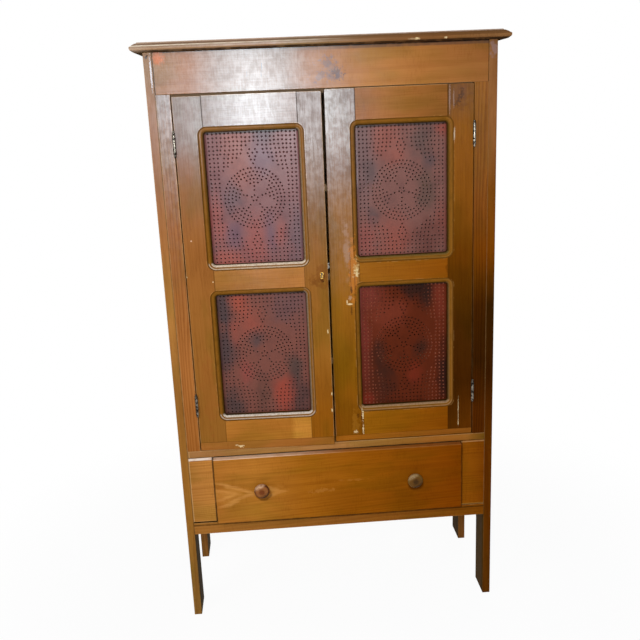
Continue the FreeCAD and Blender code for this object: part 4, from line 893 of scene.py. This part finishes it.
def makeTin(name, look):
    material, tree, shader = newMaterial(name)
    at = boardPlace(tree, name)
    low, high = nodeBox(name)
    wide, tall = high.x - low.x, high.z - low.z
    moved = mapped(tree, at, {"Location": (look["seed"], look["seed"], 0), "Scale": (1, 1, 0.75)})
    small = speckle(tree, moved, 34, 4.0, 0.6)
    colour = paint(look["base"])
    spread = blotLook["spread"]
    for across, down, halfWide, halfTall, *tone in look["blots"]:
        centre = (low.x + across / 100 * wide, low.y, high.z - down / 100 * tall)
        reach = (halfWide / 100 * wide * spread, 0.1, halfTall / 100 * tall * spread)
        blot = useGroup(tree, mark, at, centre=centre, reach=reach, ragged=0.55, grain=22.0, soft=0.75)
        colour = tint(tree, times(tree, blot["mask"], blotLook["strength"]), colour, tone)
    cool = blendIn(tree, 1.0, colour, (0.62, 0.66, 0.75, 1), "MULTIPLY")
    colour = blendIn(tree, ramp(tree, small, 0.45, 0.72, 0, 0.45), colour, cool)
    parts = split(tree, at)
    # painted shade along the top, under the moulding
    shadeUnderRim = times(tree, ramp(tree, parts["Z"], high.z - 0.0150, high.z - 0.0095),
                  ramp(tree, small, 0.3, 0.6, 0.5, 0.9))
    colour = tint(tree, shadeUnderRim, colour, (34, 22, 18))
    # the punches' walls darken towards the hole: painted shade
    depth = addNode(tree, "Attribute", attribute_name="punch").outputs["Fac"]
    hole = ramp(tree, depth, 0.05, 0.75)
    if look["lips"]:
        # towards the sides, a painted highlight on the raised lips, and lighter painted shade in the holes
        side = most(tree, ramp(tree, parts["X"], low.x + 0.36 * wide, low.x + 0.16 * wide),
                    ramp(tree, parts["X"], high.x - 0.34 * wide, high.x - 0.18 * wide))
        lit = times(tree, ramp(tree, depth, 0.005, 0.06), side, look["lips"])
        colour = tint(tree, lit, colour, (188, 104, 78))
        hole = times(tree, hole, scaled(tree, side, -0.75, 1.0))
    setShader(tree, shader, {
        "Base Color": blendIn(tree, hole, colour, look["holes"]),
        "Roughness": ramp(tree, small, 0.3, 0.7, 0.40, 0.58), "Coat Weight": look["coat"],
        "Coat Roughness": 0.30, "Specular IOR Level": 0.15 if look["coat"] else 0.06,
    }, (speckle(tree, moved, 220), 0.25, 0.0003))
    return material


for node, look in tinLooks.items():
    look = {**tinDefaults, **look}
    punchedTin(node, makeTin(node, look), int(look["seed"] * 10))
say("tins done")


# turned knobs
knobLook = {   # profile: radius and place from the drawer's face forwards, in millimetres
    "profile": ((0, -30), (7, -29.9), (12.6, -29.3), (17, -27.7), (20.1, -25), (21.5, -21.4), (21.1, -18.8),
                (18.8, -16.8), (13.8, -15.2), (9.6, -13), (8, -9.8), (8.4, -6.6), (10.4, -4.4), (11.8, -2.4),
                (12, 0)),
    "long": 0.030, "steps": 40,
}
# lit is a painted highlight on the knob's upper side
knobTones = {
    "left": {"rim": (96, 48, 20), "face": (150, 92, 46), "heart": (118, 60, 26), "lit": (222, 176, 136)},
    "right": {"rim": (122, 88, 38), "face": (104, 68, 24), "heart": (70, 44, 14), "lit": (168, 138, 98)},
}


def makeKnobWood(node, tones, centre):
    material, tree, shader = newMaterial(node + "Wood")
    at = ownPlace(tree)
    parts = split(tree, vectorCalc(tree, "SUBTRACT", at, centre)[0])
    patches = speckle(tree, at, 160, 4.0, 0.6)
    uneven = scaled(tree, patches, 0.006, diagonal(tree, parts["X"], parts["Z"]))
    colour = tint(tree, ramp(tree, uneven, 0.007, 0.015), paint(tones["heart"]), tones["face"])
    colour = tint(tree, ramp(tree, uneven, 0.0185, 0.0225), colour, tones["rim"])
    # painted shade on the lower right, and a painted highlight on the upper part of the crown
    slant = scaled(tree, parts["X"], -0.5, parts["Z"])
    colour = tint(tree, ramp(tree, slant, -0.006, -0.021, 0, 0.8), colour, (44, 24, 8))
    crownHighlight = times(tree, ramp(tree, slant, 0.010, 0.018), ramp(tree, patches, 0.35, 0.55, 0.3, 0.7))
    colour = tint(tree, crownHighlight, colour, tones["lit"])
    streak = speckle(tree, at, (30, 700, 700), 2.0)
    setShader(tree, shader, {
        "Base Color": tint(tree, ramp(tree, streak, 0.45, 0.7, 0, 0.35), colour, (50, 24, 10)),
        "Roughness": ramp(tree, patches, 0.3, 0.7, 0.22, 0.42), "Coat Weight": 0.05, "Coat Roughness": 0.2,
        "Specular IOR Level": 0.05,
    }, (streak, 0.2, 0.0003))
    return material


def turnedKnob(node, tones):
    low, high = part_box(node)
    centre = Vector(((low.x + high.x) / 2, low.y + knobLook["long"], (low.z + high.z) / 2))
    work = bmesh.new()
    verts = [work.verts.new((radius * mm, out * mm, 0)) for radius, out in knobLook["profile"]]
    for pair in zip(verts, verts[1:]):
        work.edges.new(pair)
    bmesh.ops.spin(work, geom=work.verts[:] + work.edges[:], cent=(0, 0, 0), axis=(0, 1, 0), dvec=(0, 0, 0),
                   angle=2 * math.pi, steps=knobLook["steps"], use_merge=True, use_duplicate=False)
    bmesh.ops.remove_doubles(work, verts=work.verts, dist=1e-5)
    bmesh.ops.recalc_face_normals(work, faces=work.faces)
    bmesh.ops.translate(work, verts=work.verts, vec=centre)
    addPiece(node + "Turned", work, node, makeKnobWood(node, tones, centre), 60)


for side, tones in knobTones.items():
    turnedKnob("knob_" + side, tones)
say("knobs done")


# floor, world, lamps and camera
floorLook = {"colour": (0.92, 0.92, 0.92, 1), "half": 12, "nearWhite": 0.95, "near": 0.7, "far": 1.5}
roomLight = (0.17, 0.17, 0.17, 1)
lampLooks = {
    "besideCamera": {"place": (-0.19, -2.29, 1.477), "aim": (-0.15, caseFront, 1.15), "size": 0.60,
                     "power": 34, "tint": (0.89, 0.95, 1.0)},
    "highLeft": {"place": (-1.8, -1.7, 2.5), "aim": (0, -0.1, 0.8), "size": 1.6, "power": 22},
    "highBack": {"place": (1.2, 2.2, 2.6), "aim": (0, 0, 0.8), "size": 2, "power": 20},
}
shot = {"place": (-0.1537, -2.2913, 1.4551), "yaw": 3.22, "pitch": -15.09, "roll": -2.44}
lens = {"lens": 45.37, "sensor_width": 36, "clip_start": 0.05, "clip_end": 40}


def seenDirectly(tree):
    # 1 for rays that come straight, or by a mirror or glass, from the camera
    rays = addNode(tree, "LightPath").outputs
    seen = most(tree, rays["Is Camera Ray"], rays["Is Glossy Ray"])
    return most(tree, seen, rays["Is Transmission Ray"])


def addFloor():
    work = bmesh.new()
    bmesh.ops.create_grid(work, x_segments=1, y_segments=1, size=floorLook["half"])
    material, tree, shader = newMaterial("paleFloor")
    setShader(tree, shader, {"Base Color": floorLook["colour"], "Roughness": 0.9, "Specular IOR Level": 0.1})
    white = addNode(tree, "Emission", {"Color": (1, 1, 1, 1), "Strength": 1.0})
    away = vectorCalc(tree, "LENGTH", ownPlace(tree))["Value"]
    whiteness = ramp(tree, away, floorLook["near"], floorLook["far"], floorLook["nearWhite"], 1.0)
    pick = addNode(tree, "MixShader", {0: times(tree, seenDirectly(tree), whiteness), 1: shader.outputs[0],
                                       2: white.outputs[0]})
    feed(tree, tree.nodes["Material Output"].inputs["Surface"], pick.outputs[0])
    meshThing("floor", work, material)


def addWorld():
    world = bpy.data.worlds.new("paleRoom")
    bpy.context.scene.world = world
    world.use_nodes = True
    tree = world.node_tree
    tree.nodes.clear()
    room = addNode(tree, "Background", {"Color": roomLight})
    white = addNode(tree, "Background", {"Color": (1, 1, 1, 1)})
    pick = addNode(tree, "MixShader", {0: seenDirectly(tree), 1: room.outputs[0], 2: white.outputs[0]})
    addNode(tree, "OutputWorld", {"Surface": pick.outputs[0]})


def addLamp(name, look):
    light = bpy.data.lights.new(name, "AREA")
    light.shape = "DISK"
    light.size = look["size"]
    light.energy = look["power"]
    light.color = look.get("tint", (1, 1, 1))
    lamp = putIn(name, light)
    lamp.location = look["place"]
    lamp.rotation_euler = (Vector(look["aim"]) - Vector(look["place"])).to_track_quat("-Z", "Y").to_euler()


def addCamera():
    yaw, pitch, roll = (math.radians(shot[word]) for word in ("yaw", "pitch", "roll"))
    turn = Matrix.Rotation(-yaw, 4, "Z") @ Matrix.Rotation(math.pi / 2 + pitch, 4, "X")
    camera = putIn("photoCamera", bpy.data.cameras.new("photoCamera"))
    camera.matrix_world = Matrix.Translation(shot["place"]) @ turn @ Matrix.Rotation(roll, 4, "Z")
    for key, value in lens.items():
        setattr(camera.data, key, value)
    bpy.context.scene.camera = camera


addFloor()
addWorld()
for name, look in lampLooks.items():
    addLamp(name, look)
addCamera()
bpy.context.scene.view_settings.view_transform = "Standard"

print("scene built")
